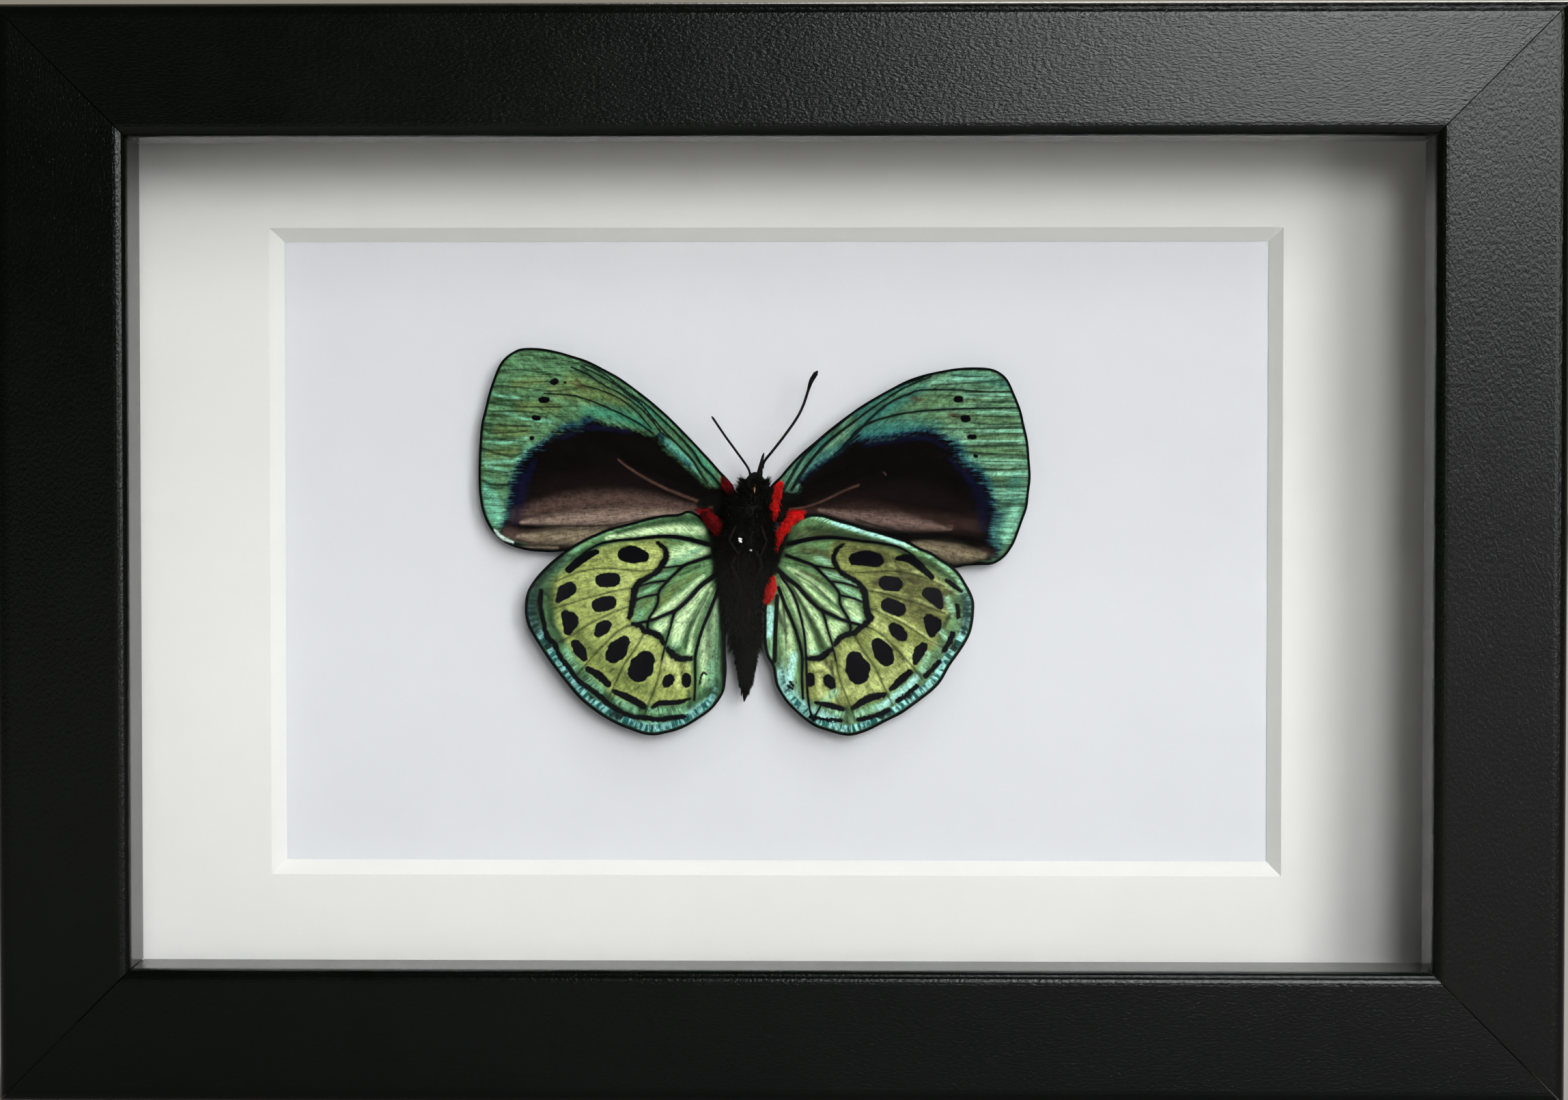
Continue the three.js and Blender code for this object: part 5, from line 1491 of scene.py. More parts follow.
@dataclass
class Wing:
    """One wing: a thin sheet with raised veins, that carries its pattern as numbers on its points."""

    side: Side
    pair: str
    plan: WingPlan
    depth: float
    spacing: float = 0.17
    thickness: float = 0.07
    vein_height: float = 0.07
    camber: float = 0.35
    shift: Pair = (0.0, 0.0)
    grow: float = 1.0

    def step(self) -> float:
        """The spacing of points along the outline and the veins."""
        return self.spacing * 0.8

    def name(self) -> str:
        """The CAD node that this wing stands for."""
        return f"{self.pair}_{self.side.value}"

    def build(self) -> bpy.types.Object:
        """Makes the sheet and stores the pattern on it.

        Returns:
            The wing.
        """
        ring = smooth_line(self.plan.outline, self.step(), closed=True)
        flat, triangles = self.triangulate(ring)
        far, where = nearest(flat, ring, closed=True)
        edge = np.where(within(flat, ring), far, 0.0)
        edge[: len(ring)] = 0.0
        marks = self.marks(flat, edge, where * self.step())
        lift = self.relief(marks)
        front = self.raise_up(flat, lift + self.thickness / 2)
        back = self.raise_up(flat, lift - self.thickness / 2)
        count, rim = len(flat), len(ring)
        faces = [tuple(t) for t in triangles] + [(a + count, c + count, b + count) for a, b, c in triangles]
        faces += [(i, (i + 1) % rim, (i + 1) % rim + count, i + count) for i in range(rim)]
        piece = make_piece(f"{self.name()}_sheet", np.vstack([front, back]), faces)
        mesh = piece.data
        smooth = np.ones(len(mesh.polygons), bool)
        smooth[-rim:] = False
        mesh.polygons.foreach_set("use_smooth", smooth)
        for key, numbers in marks.items():
            add_mark(piece, key, np.concatenate([numbers, numbers]))
        self.face_out(piece)
        return piece

    def face_out(self, piece: bpy.types.Object) -> None:
        """Turns all faces the right way out."""
        work = bmesh.new()
        work.from_mesh(piece.data)
        bmesh.ops.recalc_face_normals(work, faces=work.faces)
        work.to_mesh(piece.data)
        work.free()

    def triangulate(self, ring: np.ndarray) -> tuple[np.ndarray, list]:
        """Fills the outline with small triangles, with points along each vein.

        Args:
            ring: the outline's points.

        Returns:
            The points, the ring first, and the triangles.
        """
        clear = self.spacing * 0.5
        lines = [smooth_line(v.path, self.step())[:, :2] for v in self.plan.crisp["vein"]]
        lines = [line[within(line, ring) & (nearest(line, ring, True)[0] > clear)] for line in lines]
        veins = np.vstack(lines)
        low, high = ring.min(0), ring.max(0)
        rows = np.arange(low[1], high[1], self.spacing * ROW_OF_TRIANGLES)
        columns = np.arange(low[0], high[0], self.spacing)
        gx, gz = np.meshgrid(columns, rows)
        gx[1::2] += self.spacing / 2
        grid = np.stack([gx.ravel(), gz.ravel()], 1)
        grid = grid[within(grid, ring)]
        grid = grid[nearest(grid, ring, True)[0] > clear]
        apart = np.full(len(grid), 9.0)
        for line in lines:
            if len(line) > 1:
                apart = np.minimum(apart, nearest(grid, line)[0])
        grid = grid[apart > self.spacing * 0.45]
        points = np.vstack([ring, veins, grid])
        count = len(ring)
        loop = [(i, (i + 1) % count) for i in range(count)]
        found, _, faces, origins, _, _ = delaunay_2d_cdt(
            [Vector(p) for p in points.tolist()], loop, [], 1, 1e-6
        )
        order = np.array([o[0] if o else len(points) + i for i, o in enumerate(origins)])
        rank = np.argsort(order)
        back = np.empty(len(rank), int)
        back[rank] = np.arange(len(rank))
        flat = np.array([(v.x, v.y) for v in found])[rank]
        return flat, [tuple(back[list(f)]) for f in faces]

    def marks(self, flat: np.ndarray, edge: np.ndarray, along: np.ndarray) -> dict[str, np.ndarray]:
        """Works out every number that the finish needs.

        Args:
            flat: the sheet's points.
            edge: how far in from the outline each is.
            along: where along the outline each is.

        Returns:
            The numbers by name.
        """
        plan = self.plan
        off = flat - np.array(plan.root)
        out = np.hypot(*off.T)
        outward = -1.0 if self.side is Side.LEFT else 1.0
        marks = {
            "edge": edge,
            "along": along,
            "fan": np.arctan2(off[:, 1], off[:, 0] * outward),
            "out": out,
            "across": flat[:, 0],
            "up": flat[:, 1],
            "far": ((out - 14) / 9).clip(0, 1),
            "rear": ((1.6 - flat[:, 1]) / 2.4).clip(0, 1) * (np.abs(flat[:, 0]) - 3.3).clip(0, 1),
        }
        for key, strokes in plan.crisp.items():
            marks[key] = np.maximum.reduce([s.reach(flat) for s in strokes])
        for key, strokes in plan.soft.items():
            marks[key] = np.maximum.reduce([s.wash(flat) for s in strokes])
        for key, corners in plan.patch.items():
            ring = smooth_line(corners, 0.3, closed=True)
            far = nearest(flat, ring, closed=True)[0]
            marks[key] = np.where(within(flat, ring), far, -far)
        return marks

    def relief(self, marks: dict[str, np.ndarray]) -> np.ndarray:
        """How far each point stands towards the viewer.

        Args:
            marks: the numbers stored on the sheet.

        Returns:
            The height in mm.
        """
        ridge = np.exp(-((0.1 - marks["vein"]).clip(0) / 0.14) ** 2) * self.vein_height
        folds = np.sin(marks["fan"] * 26.0) * 0.05 * (marks["out"] / 12).clip(0, 1)
        bow = 1 - ((marks["out"] - 13) / 15) ** 2
        droop = -((0.9 - marks["edge"]).clip(0) / 0.9) ** 2 * 0.12
        return ridge + folds + bow * self.camber + droop

    def raise_up(self, flat: np.ndarray, lift: np.ndarray) -> np.ndarray:
        """Places flat points in the frame, each lifted towards the viewer."""
        x, z = flat[:, 0] * self.grow + self.shift[0], flat[:, 1] * self.grow + self.shift[1]
        return np.stack([x, self.depth - lift, z], 1) + SPECIMEN

    def finish(self, material: bpy.types.Material) -> bpy.types.Object:
        """Builds and dresses the wing.

        Args:
            material: its scales.

        Returns:
            The wing.
        """
        piece = self.build()
        dress(piece, material, self.pair)
        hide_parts(self.name())
        return piece


@dataclass(frozen=True)
class Chitin:
    """Dark brown body shell under the hair."""

    name: str
    dark: Colour = srgb(3, 3, 2)
    light: Colour = srgb(18, 17, 11)
    roughness: float = 0.6
    sheen: float = 0.08

    def material(self) -> bpy.types.Material:
        """Makes the shell material."""
        tree = Tree(self.name)
        place = tree.place()
        mottle = tree.noise(place, 1200, 4, 0.65)
        pits = tree.cells(place, 4200)
        return tree.surface({
            "Base Color": tree.blend(mottle.rise(0.35, 0.7), self.dark, self.light),
            "Roughness": self.roughness + (mottle - 0.5) * 0.3,
            "Specular IOR Level": self.sheen,
            "Normal": tree.bump(mottle * 0.6 + pits * 0.6, 0.05, 0.7),
        })


@dataclass
class Hairs:
    """A tuft of fine bent hairs, each a closed three-sided spike."""

    name: str
    roots: np.ndarray
    ways: np.ndarray
    length: Pair
    radius: float
    bend: np.ndarray
    seed: int

    def build(self) -> bpy.types.Object:
        """Makes all the hairs as one mesh.

        Returns:
            The piece.
        """
        draw = np.random.default_rng(self.seed)
        count = len(self.roots)
        long = draw.uniform(*self.length, count)[:, None]
        ways = self.ways + draw.normal(0, 0.28, (count, 3))
        ways /= np.linalg.norm(ways, axis=1)[:, None]
        bent = ways + self.bend
        bent /= np.linalg.norm(bent, axis=1)[:, None]
        knee = self.roots + ways * long * 0.45
        tip = knee + bent * long * 0.55
        side = np.cross(ways, draw.normal(0, 1, (count, 3)))
        side /= np.linalg.norm(side, axis=1)[:, None]
        other = np.cross(ways, side)
        thick = self.radius * draw.uniform(0.7, 1.2, (count, 1))
        rings = []
        for place, size in ((self.roots, 1.0), (knee, 0.8)):
            for angle in (0.0, 2 * math.pi / 3, 4 * math.pi / 3):
                rings.append(place + (side * math.cos(angle) + other * math.sin(angle)) * thick * size)
        points = np.stack([*rings, tip], 1).reshape(-1, 3)
        pattern = [(0, 2, 1)] + [(i, (i + 1) % 3, (i + 1) % 3 + 3, i + 3) for i in range(3)]
        pattern += [(i + 3, (i + 1) % 3 + 3, 6) for i in range(3)]
        faces = [tuple(7 * n + i for i in f) for n in range(count) for f in pattern]
        return make_piece(self.name, points, faces)


@dataclass
class Body:
    """Head, thorax and abdomen seen from below, with hair, palps, tongue and folded legs."""

    sections: tuple[tuple[float, float, float, float, float], ...] = (
        # z, half width, half depth, x, y
        (-11.15, 0.05, 0.06, -0.48, 0.15), (-10.7, 0.2, 0.24, -0.42, 0.15), (-10.0, 0.38, 0.45, -0.38, 0.1),
        (-9.5, 0.5, 0.6, -0.35, 0.05), (-9.3, 0.66, 0.75, -0.3, 0.0), (-8.4, 0.86, 1.0, -0.26, 0.0),
        (-6.6, 1.15, 1.3, -0.28, -0.05), (-5.0, 1.45, 1.45, -0.3, -0.1), (-3.2, 1.65, 1.6, -0.4, -0.2),
        (-1.4, 1.82, 1.7, -0.52, -0.35), (0.3, 2.0, 1.85, -0.62, -0.5), (2.0, 2.3, 2.1, -0.65, -0.6),
        (3.8, 2.85, 2.4, -0.35, -0.65), (5.5, 2.95, 2.5, -0.2, -0.7), (7.3, 2.85, 2.5, -0.05, -0.7),
        (9.0, 2.45, 2.3, 0.05, -0.75), (10.7, 2.2, 1.9, 0.0, -0.9), (11.5, 1.75, 1.4, 0.3, -1.1),
        (12.1, 1.4, 1.2, 0.55, -1.15), (12.7, 1.25, 1.25, 0.7, -1.2), (13.3, 1.15, 1.2, 0.75, -1.2),
        (13.8, 0.85, 0.9, 0.8, -1.2), (14.2, 0.5, 0.4, 0.75, -1.2), (14.35, 0.06, 0.06, 0.75, -1.2),
    )
    limbs: tuple[Points, ...] = (
        ((-1.2, -3.0, 8.6), (-2.0, -3.6, 6.9), (-0.9, -3.7, 5.2), (-1.3, -3.4, 2.9)),
        ((1.4, -3.0, 8.6), (2.1, -3.5, 6.7), (1.3, -3.7, 4.9), (1.6, -3.3, 2.4)),
        ((-0.7, -3.1, 5.9), (-1.8, -3.5, 4.2), (-0.9, -3.4, 2.4), (-0.8, -3.0, 0.2)),
        ((0.8, -3.1, 5.9), (1.7, -3.5, 4.0), (0.7, -3.4, 2.3), (0.5, -2.9, -0.2)),
    )
    leg_radii: tuple[Pair, ...] = ((0.26, 0.18), (0.17, 0.11), (0.1, 0.06))
    long_palp: Points = (
        (1.25, 13.4, -2.2), (1.33, 14.3, -2.5), (1.51, 15.39, -2.5), (1.78, 16.5, -2.3),
    )
    short_palp: Points = ((0.1, 12.6, -2.3), (0.2, 13.4, -2.6), (0.5, 14.0, -2.5))
    eye_places: Pair = (-0.28, 1.72)
    eye_height: float = 12.75
    eye_radii: Pair = (0.62, 0.82)
    coil_turns: float = 2.6
    coil_place: tuple[float, float, float] = (0.52, -2.35, 12.45)
    dots: tuple[tuple[float, float, float, int], ...] = ((-0.78, 6.95, 0.19, 16), (0.37, 5.85, 0.1, 3))
    sides: int = 40
    hair_count: int = 8000
    front_share: float = 0.74
    rump_share: float = 0.12
    neck: float = 10.5
    waist: float = 0.5
    rump: float = -7.0
    hair_span: Pair = (-10.2, 13.4)
    rump_hair: Pair = (0.25, 0.55)
    rump_hair_radius: float = 0.035
    body_hair: Pair = (0.45, 1.3)
    body_hair_radius: float = 0.045
    seed: int = 11
    dots_seed: int = 5

    def surface(self, z: np.ndarray, turn: np.ndarray) -> tuple[np.ndarray, np.ndarray]:
        """Points on the body and the way out from it.

        Args:
            z: heights in mm.
            turn: angles round it, 0 to the right and a quarter turn towards the viewer.

        Returns:
            The points about the specimen's zero, and the outward directions.
        """
        rows = np.array(self.sections)
        wide, deep, x, y = (np.interp(z, rows[:, 0], rows[:, k]) for k in (1, 2, 3, 4))
        way = np.stack([np.cos(turn), -np.sin(turn), np.zeros_like(turn)], -1)
        points = np.stack([x + wide * np.cos(turn), y - deep * np.sin(turn), z], -1)
        return points, way

    def skin(self) -> bpy.types.Object:
        """Lofts the body with its rings of segments.

        Returns:
            The skin.
        """
        low, high = self.sections[0][0], self.sections[-1][0]
        z = np.concatenate([[low], np.arange(low + 0.08, high - 0.05, 0.16), [high]])
        turn = np.linspace(0, 2 * math.pi, self.sides, endpoint=False)
        zz, tt = np.meshgrid(z, turn, indexing="ij")
        points, way = self.surface(zz, tt)
        groove = np.where(zz < 0.5, -0.09 * np.exp(-(((zz + 9.0) % 1.35) / 0.22) ** 2), 0.0)
        lumps = 0.05 * np.sin(tt * 7 + zz * 2.3) * np.where(zz > 1, 1.0, 0.3)
        swelling = np.minimum(1, np.abs(zz - zz[0, 0]) / 0.8) * np.minimum(1, np.abs(zz[-1, 0] - zz) / 0.5)
        points = points + way * ((groove + lumps) * swelling)[..., None]
        count, sides = len(z), self.sides
        last = (count - 1) * sides
        faces = []
        for start in range(0, last, sides):
            for j in range(sides):
                k = (j + 1) % sides
                faces.append((start + j, start + k, start + sides + k, start + sides + j))
        faces += [tuple(range(sides))[::-1], tuple(last + j for j in range(sides))]
        return make_piece("body_skin", points.reshape(-1, 3) + SPECIMEN, faces)

    def fur(self) -> list[bpy.types.Object]:
        """Combs hair over the thorax, head and abdomen, shorter and flatter at its tip.

        Returns:
            The two pieces of fur.
        """
        draw = np.random.default_rng(self.seed)
        count = self.hair_count
        low, high = self.hair_span
        in_front = draw.random(count) < self.front_share
        z = np.where(in_front, draw.uniform(self.waist, high, count), draw.uniform(low, self.waist, count))
        turn = draw.uniform(-0.5, math.pi + 0.5, count)
        roots, out = self.surface(z, turn)
        comb = np.where(z > self.neck, 0.9, -1.0)[:, None] * np.array([0.0, 0.0, 1.0])
        flat = np.where(z < self.rump, 2.4, np.where(z < self.waist, 1.1, 0.55))[:, None]
        roots, out, comb, flat = (rows[np.argsort(z)] for rows in (roots, out, comb, flat))
        rear = int(count * self.rump_share)
        starts = roots - out * 0.05 + SPECIMEN
        ways = out + comb * flat
        rump = Hairs(
            "rump_fur", starts[:rear], ways[:rear], self.rump_hair, self.rump_hair_radius,
            bend=comb[:rear] * 0.8, seed=self.seed + 1,
        )
        front = Hairs(
            "body_fur", starts[rear:], ways[rear:], self.body_hair, self.body_hair_radius,
            bend=comb[rear:] * 0.6, seed=self.seed,
        )
        return [rump.build(), front.build()]

    def mouthparts(self) -> list[tuple[bpy.types.Object, str]]:
        """Makes the eyes, palps and coiled tongue.

        Returns:
            Each piece with the name of its finish.
        """
        pieces = []
        turn = np.linspace(0, self.coil_turns * 2 * math.pi, 90)
        radius = 0.12 + 0.36 * turn / turn[-1]
        x, y, z = self.coil_place
        coil = np.stack([x + 0.02 * turn, y - radius * np.cos(turn), z + radius * 1.1 * np.sin(turn)], 1)
        tongue = tube(coil, np.linspace(0.05, 0.11, 90), 8)
        pieces.append((make_piece("tongue", *self.placed(tongue)), "tongue"))
        palps = []
        for points, along, radii in (
            (self.long_palp, [0, 0.25, 0.6, 0.9, 1], [0.3, 0.34, 0.2, 0.13, 0.03]),
            (self.short_palp, [0, 0.3, 1], [0.25, 0.34, 0.08]),
        ):
            path = smooth_line(points, 0.12)[:, [0, 2, 1]]
            palps.append(tube(path, np.interp(np.linspace(0, 1, len(path)), along, radii), 10))
        pieces.append((make_piece("palps", *self.placed(join_parts(palps))), "chitin"))
        eyes = []
        across_radius, up_radius = self.eye_radii
        steps = np.linspace(-1, 1, 15)
        for x in self.eye_places:
            line = np.stack([np.full(15, x), np.full(15, -1.35), self.eye_height + up_radius * steps], 1)
            eyes.append(tube(line, across_radius * np.sqrt((1 - steps**2).clip(0.003)), 20))
        pieces.append((make_piece("eyes", *self.placed(join_parts(eyes))), "eye"))
        return pieces

    def placed(self, part: tuple[np.ndarray, list]) -> tuple[np.ndarray, list]:
        """Moves a part from the specimen's zero into the frame."""
        return part[0] + SPECIMEN, part[1]

    def legs(self) -> bpy.types.Object:
        """Folds four thin legs against the thorax.

        Returns:
            The legs.
        """
        parts = []
        for limb in self.limbs:
            joints = np.array(limb)
            for a, b, (thick, thin) in zip(joints, joints[1:], self.leg_radii):
                ends = [thick * 0.6, thick, thin, thin * 0.6]
                radii = np.interp(np.linspace(0, 1, 9), [0, 0.1, 0.9, 1], ends)
                parts.append(tube(np.linspace(a, b, 9), radii, 8))
        return make_piece("folded_legs", *self.placed(join_parts(parts)))

    def thorax_dots(self) -> bpy.types.Object:
        """Makes the two small white dots on the thorax, each a tuft of tiny tubes.

        Returns:
            The tufts.
        """
        draw = np.random.default_rng(self.dots_seed)
        parts = []
        for x, z, size, count in self.dots:
            for _ in range(count):
                dx, dz = draw.uniform(-size, size, 2) * 0.8
                start = np.array([x + dx, -3.45 + abs(dx) * 0.2, z + dz])
                end = start + np.array([dx * 0.3, -0.22, dz * 0.3 - 0.12])
                parts.append(tube(np.linspace(start, end, 4), (0.07, 0.09, 0.08, 0.03), 6))
        return make_piece("white_dots", *self.placed(join_parts(parts)))

    def finish(self, finishes: dict[str, bpy.types.Material]) -> list[bpy.types.Object]:
        """Builds and dresses the whole body.

        Args:
            finishes: its materials by name.

        Returns:
            All its pieces.
        """
        parts = [(self.skin(), "chitin"), (self.legs(), "chitin"), (self.thorax_dots(), "white")]
        parts += [(piece, "fur") for piece in self.fur()]
        parts += self.mouthparts()
        for piece, finish in parts:
            dress(piece, finishes[finish], "insect_body")
        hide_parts("butterfly_body")
        return [piece for piece, _ in parts]


@dataclass
class RedTufts:
    """Red hair where the wings join the body on one side."""

    side: Side
    marks: tuple[Stroke, ...]
    front: float = -0.75
    step: float = 0.1
    per_mm: int = 120
    length: Pair = (0.35, 0.8)
    radius: float = 0.05
    seed: int = 23

    def build(self) -> bpy.types.Object:
        """Lays short hairs along each tuft.

        Returns:
            The tufts.
        """
        draw = np.random.default_rng(self.seed)
        roots, ways = [], []
        for mark in self.marks:
            line = smooth_line(mark.path, self.step)
            count = int(len(line) * self.step * self.per_mm)
            at = draw.uniform(0, len(line) - 1, count)
            x, z, wide = (np.interp(at, np.arange(len(line)), line[:, k]) for k in range(3))
            slope = np.gradient(line[:, :2], axis=0)
            slope /= np.linalg.norm(slope, axis=1)[:, None]
            run = np.stack([np.interp(at, np.arange(len(line)), slope[:, k]) for k in range(2)], 1)
            off = draw.uniform(-0.5, 0.5, count)
            px, pz = x + off * wide * -run[:, 1], z + off * wide * run[:, 0]
            bulge = np.sqrt((0.27 - off**2).clip(0)) * wide * 0.8
            roots.append(np.stack([px, self.front - bulge, pz], 1))
            ways.append(np.stack([run[:, 0], np.full(count, -0.35), run[:, 1]], 1))
        roots, ways = np.vstack(roots), np.vstack(ways)
        name = f"red_tufts_{self.side.value}"
        bend = np.array([0.0, 0.1, 0.0])
        return Hairs(name, roots + SPECIMEN, ways, self.length, self.radius, bend, self.seed).build()

    def cushions(self) -> bpy.types.Object:
        """Makes the low mounds that the red hairs grow from.

        Returns:
            The mounds.
        """
        parts = []
        for mark in self.marks:
            line = smooth_line(mark.path, 0.2)
            path = np.stack([line[:, 0], np.full(len(line), self.front + 0.15), line[:, 1]], 1)
            end = np.sqrt((1 - np.linspace(-1, 1, len(line)) ** 2).clip(0.01))
            parts.append(tube(path, line[:, 2] / 2 * (0.25 + 0.75 * end), 14))
        points, faces = join_parts(parts)
        return make_piece(f"red_mounds_{self.side.value}", points + SPECIMEN, faces)

    def finish(self, material: bpy.types.Material) -> list[bpy.types.Object]:
        """Builds and dresses the tufts.

        Args:
            material: the red hair.

        Returns:
            The pieces.
        """
        pieces = [self.build(), self.cushions()]
        for piece in pieces:
            dress(piece, material, "insect_body")
        return pieces


@dataclass
class Antenna:
    """One feeler: a fine ringed rod, with a club unless it is broken off."""

    side: Side
    points: Points
    radius: float
    club: float

    def build(self) -> bpy.types.Object:
        """Makes the rod with its joints.

        Returns:
            The feeler.
        """
        p = smooth_line([(x, z, y) for x, y, z in self.points], 0.06)
        path = p[:, [0, 2, 1]]
        at = np.linspace(0, 1, len(path))
        rings = 1 + 0.1 * np.cos(np.arange(len(path)) * 2 * math.pi / 5)
        taper = np.interp(at, [0, 0.02, 0.8, 0.9, 0.97, 1.0], [1.4, 1.0, 1.0, self.club, self.club, 0.35])
        size = taper * self.radius * rings
        points, faces = tube(path, size, 10)
        return make_piece(f"feeler_{self.side.value}", points + SPECIMEN, faces)

    def finish(self, material: bpy.types.Material) -> bpy.types.Object:
        """Builds and dresses the feeler.

        Args:
            material: its shell.

        Returns:
            The feeler.
        """
        piece = self.build()
        dress(piece, material, "antenna")
        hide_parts(f"antenna_{self.side.value}")
        return piece


# ---------------------------------------------------------------- frame, room and camera


@dataclass
class FrameDressing:
    """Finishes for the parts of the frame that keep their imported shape."""

    mat: tuple[Colour, Colour] = (srgb(220, 219, 216), srgb(215, 214, 210))
    card: tuple[Colour, Colour] = (srgb(208, 209, 212), srgb(203, 204, 208))
    hardboard: tuple[Colour, Colour] = (srgb(82, 54, 34), srgb(142, 102, 68))
    strip: tuple[Colour, Colour] = (srgb(18, 18, 18), srgb(34, 33, 32))
    strip_weave: float = 0.04

    def finish(self) -> list[str]:
        """Gives every kept node its material.

        Returns:
            The nodes' names.
        """
        across_wood, upright_wood = BlackSatin(Grain.ACROSS).material(), BlackSatin(Grain.UPRIGHT).material()
        white = Paperboard("mat_board", *self.mat).material()
        card = Paperboard("backing_card", *self.card).material()
        hardboard = RawBoard("hardboard", *self.hardboard).material()
        strip = RawBoard("spacer_strip", *self.strip, self.strip_weave).material()
        zinc = ZincPlate().material()
        plain = {
            "rail_top": across_wood, "rail_bottom": across_wood,
            "rail_left": upright_wood, "rail_right": upright_wood,
            "glass": PictureGlass().material(), "mat": white, "backing_card": card, "back_board": hardboard,
            "hanger": zinc, "hanger_screw_left": zinc, "hanger_screw_right": zinc,
            "glue_dot": SetGlue().material(),
        }
        plain |= {f"spacer_{where}": strip for where in ("top", "bottom", "left", "right")}
        plain |= {
            f"tab_{where}": zinc for where in ("top_1", "top_2", "bottom_1", "bottom_2", "left", "right")
        }
        for name, material in plain.items():
            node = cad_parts[name]
            node.data.materials.clear()
            node.data.materials.append(material)
        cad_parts["glass"].visible_shadow = False
        return list(plain)


@dataclass
class MitreGlue:
    """The dark glue set in the four mitres, which keeps light from showing through the joints."""

    half_width: float = 83.5
    height: float = 117.0
    outer: float = 0.6
    inner: float = 8.3
    front: float = -15.0
    rear: float = 15.0
    thickness: float = 0.07
    colours: tuple[Colour, Colour] = (srgb(14, 14, 13), srgb(24, 23, 22))
    weave: float = 0.04

    def leaf(self, side: int, up: int) -> tuple[np.ndarray, list]:
        """The thin leaf of glue in one mitre.

        Args:
            side: -1 for a left corner, 1 for a right one.
            up: 1 for a top corner, 0 for a bottom one.

        Returns:
            Its points in mm and its faces.
        """
        inwards = 1 - 2 * up
        nudge = self.thickness / math.sqrt(8)
        points = [
            (
                side * (self.half_width - along) + inwards * off, depth,
                up * self.height + inwards * along + side * off
            )
            for along in (self.outer, self.inner)
            for off in (-nudge, nudge)
            for depth in (self.front, self.rear)
        ]
        return np.array(points), [
            (0, 1, 3, 2), (4, 6, 7, 5), (0, 4, 5, 1), (2, 3, 7, 6), (0, 2, 6, 4), (1, 5, 7, 3)
        ]

    def finish(self) -> bpy.types.Object:
        """Builds the four leaves as one piece and dresses it.

        Returns:
            The piece.
        """
        leaves = [self.leaf(side, up) for side in (-1, 1) for up in (0, 1)]
        piece = make_piece("mitre_glue", *join_parts(leaves), smooth=False)
        dress(piece, RawBoard("dark_glue", *self.colours, self.weave).material(), "frame_finish")
        return piece


@dataclass(frozen=True)
class Lamp:
    """A soft rectangular lamp, aimed at the middle of the frame.

    Its turn is in degrees to the right of straight in front and its rise in degrees above the middle.
    """

    name: str
    turn: float
    rise: float
    away: float
    size: Pair
    radiance: float
    colour: Colour

    def build(self) -> None:
        """Makes the lamp."""
        light = bpy.data.lights.new(self.name, "AREA")
        light.shape = "RECTANGLE"
        light.size, light.size_y = self.size
        light.energy = self.radiance * math.pi * self.size[0] * self.size[1]
        light.color = self.colour
        lamp = bpy.data.objects.new(self.name, light)
        a, b = math.radians(self.turn), math.radians(self.rise)
        way = Vector((math.sin(a) * math.cos(b), -math.cos(a) * math.cos(b), math.sin(b)))
        lamp.location = MIDDLE + self.away * way
        lamp.rotation_euler = (MIDDLE - lamp.location).to_track_quat("-Z", "Y").to_euler()
        bpy.context.scene.collection.objects.link(lamp)


@dataclass
class Room:
    """A pale floor, two soft windows, a skylight and dim warm surroundings."""

    lamps: tuple[Lamp, ...] = (
        Lamp("near_window", 9.3, 13.1, 1.5, (0.268, 0.362), 16.8, (0.985, 0.99, 1.0)),
        Lamp("far_window", 27.0, 18.0, 1.6, (0.39, 1.16), 6.9, (0.985, 0.99, 1.0)),
        Lamp("skylight", 20.0, 62.0, 1.6, (0.34, 0.34), 9.0, (0.95, 0.98, 1.0)),
        Lamp("behind", 162.0, 38.0, 1.6, (0.9, 0.9), 4.5, (1.0, 0.98, 0.95)),
    )
    front: float = 0.06
    rear: float = 0.26
    air: Colour = (1.0, 0.93, 0.76)
    floor_colours: tuple[Colour, Colour] = (srgb(185, 183, 179), srgb(191, 189, 186))
    floor_reach: float = 2500.0

    def build(self) -> None:
        """Makes the floor, the lamps and the surroundings."""
        for lamp in self.lamps:
            lamp.build()
        self.floor()
        world = bpy.data.worlds.new("room")
        bpy.context.scene.world = world
        tree = Tree(world=world)
        way = tree.value("ShaderNodeTexCoord", output="Generated")
        rise = tree.axis(way, "Y").rise(-0.1, 0.5)
        back = tree.node("ShaderNodeBackground", None, {
            "Color": self.air, "Strength": rise * (self.rear - self.front) + self.front,
        })
        end = tree.node("ShaderNodeOutputWorld")
        tree.tree.links.new(back.outputs[0], end.inputs[0])

    def floor(self) -> None:
        """Makes the pale floor."""
        turn = np.linspace(0, 2 * math.pi, 64, endpoint=False)
        points = np.stack([np.cos(turn), np.sin(turn), np.zeros(64)], 1) * self.floor_reach
        piece = make_piece("floor", points, [tuple(range(64))])
        tree = Tree("pale_floor")
        cloud = tree.noise(tree.place(), 6, 3)
        piece.data.materials.append(tree.surface({
            "Base Color": tree.blend(cloud, *self.floor_colours), "Roughness": 0.7,
        }))


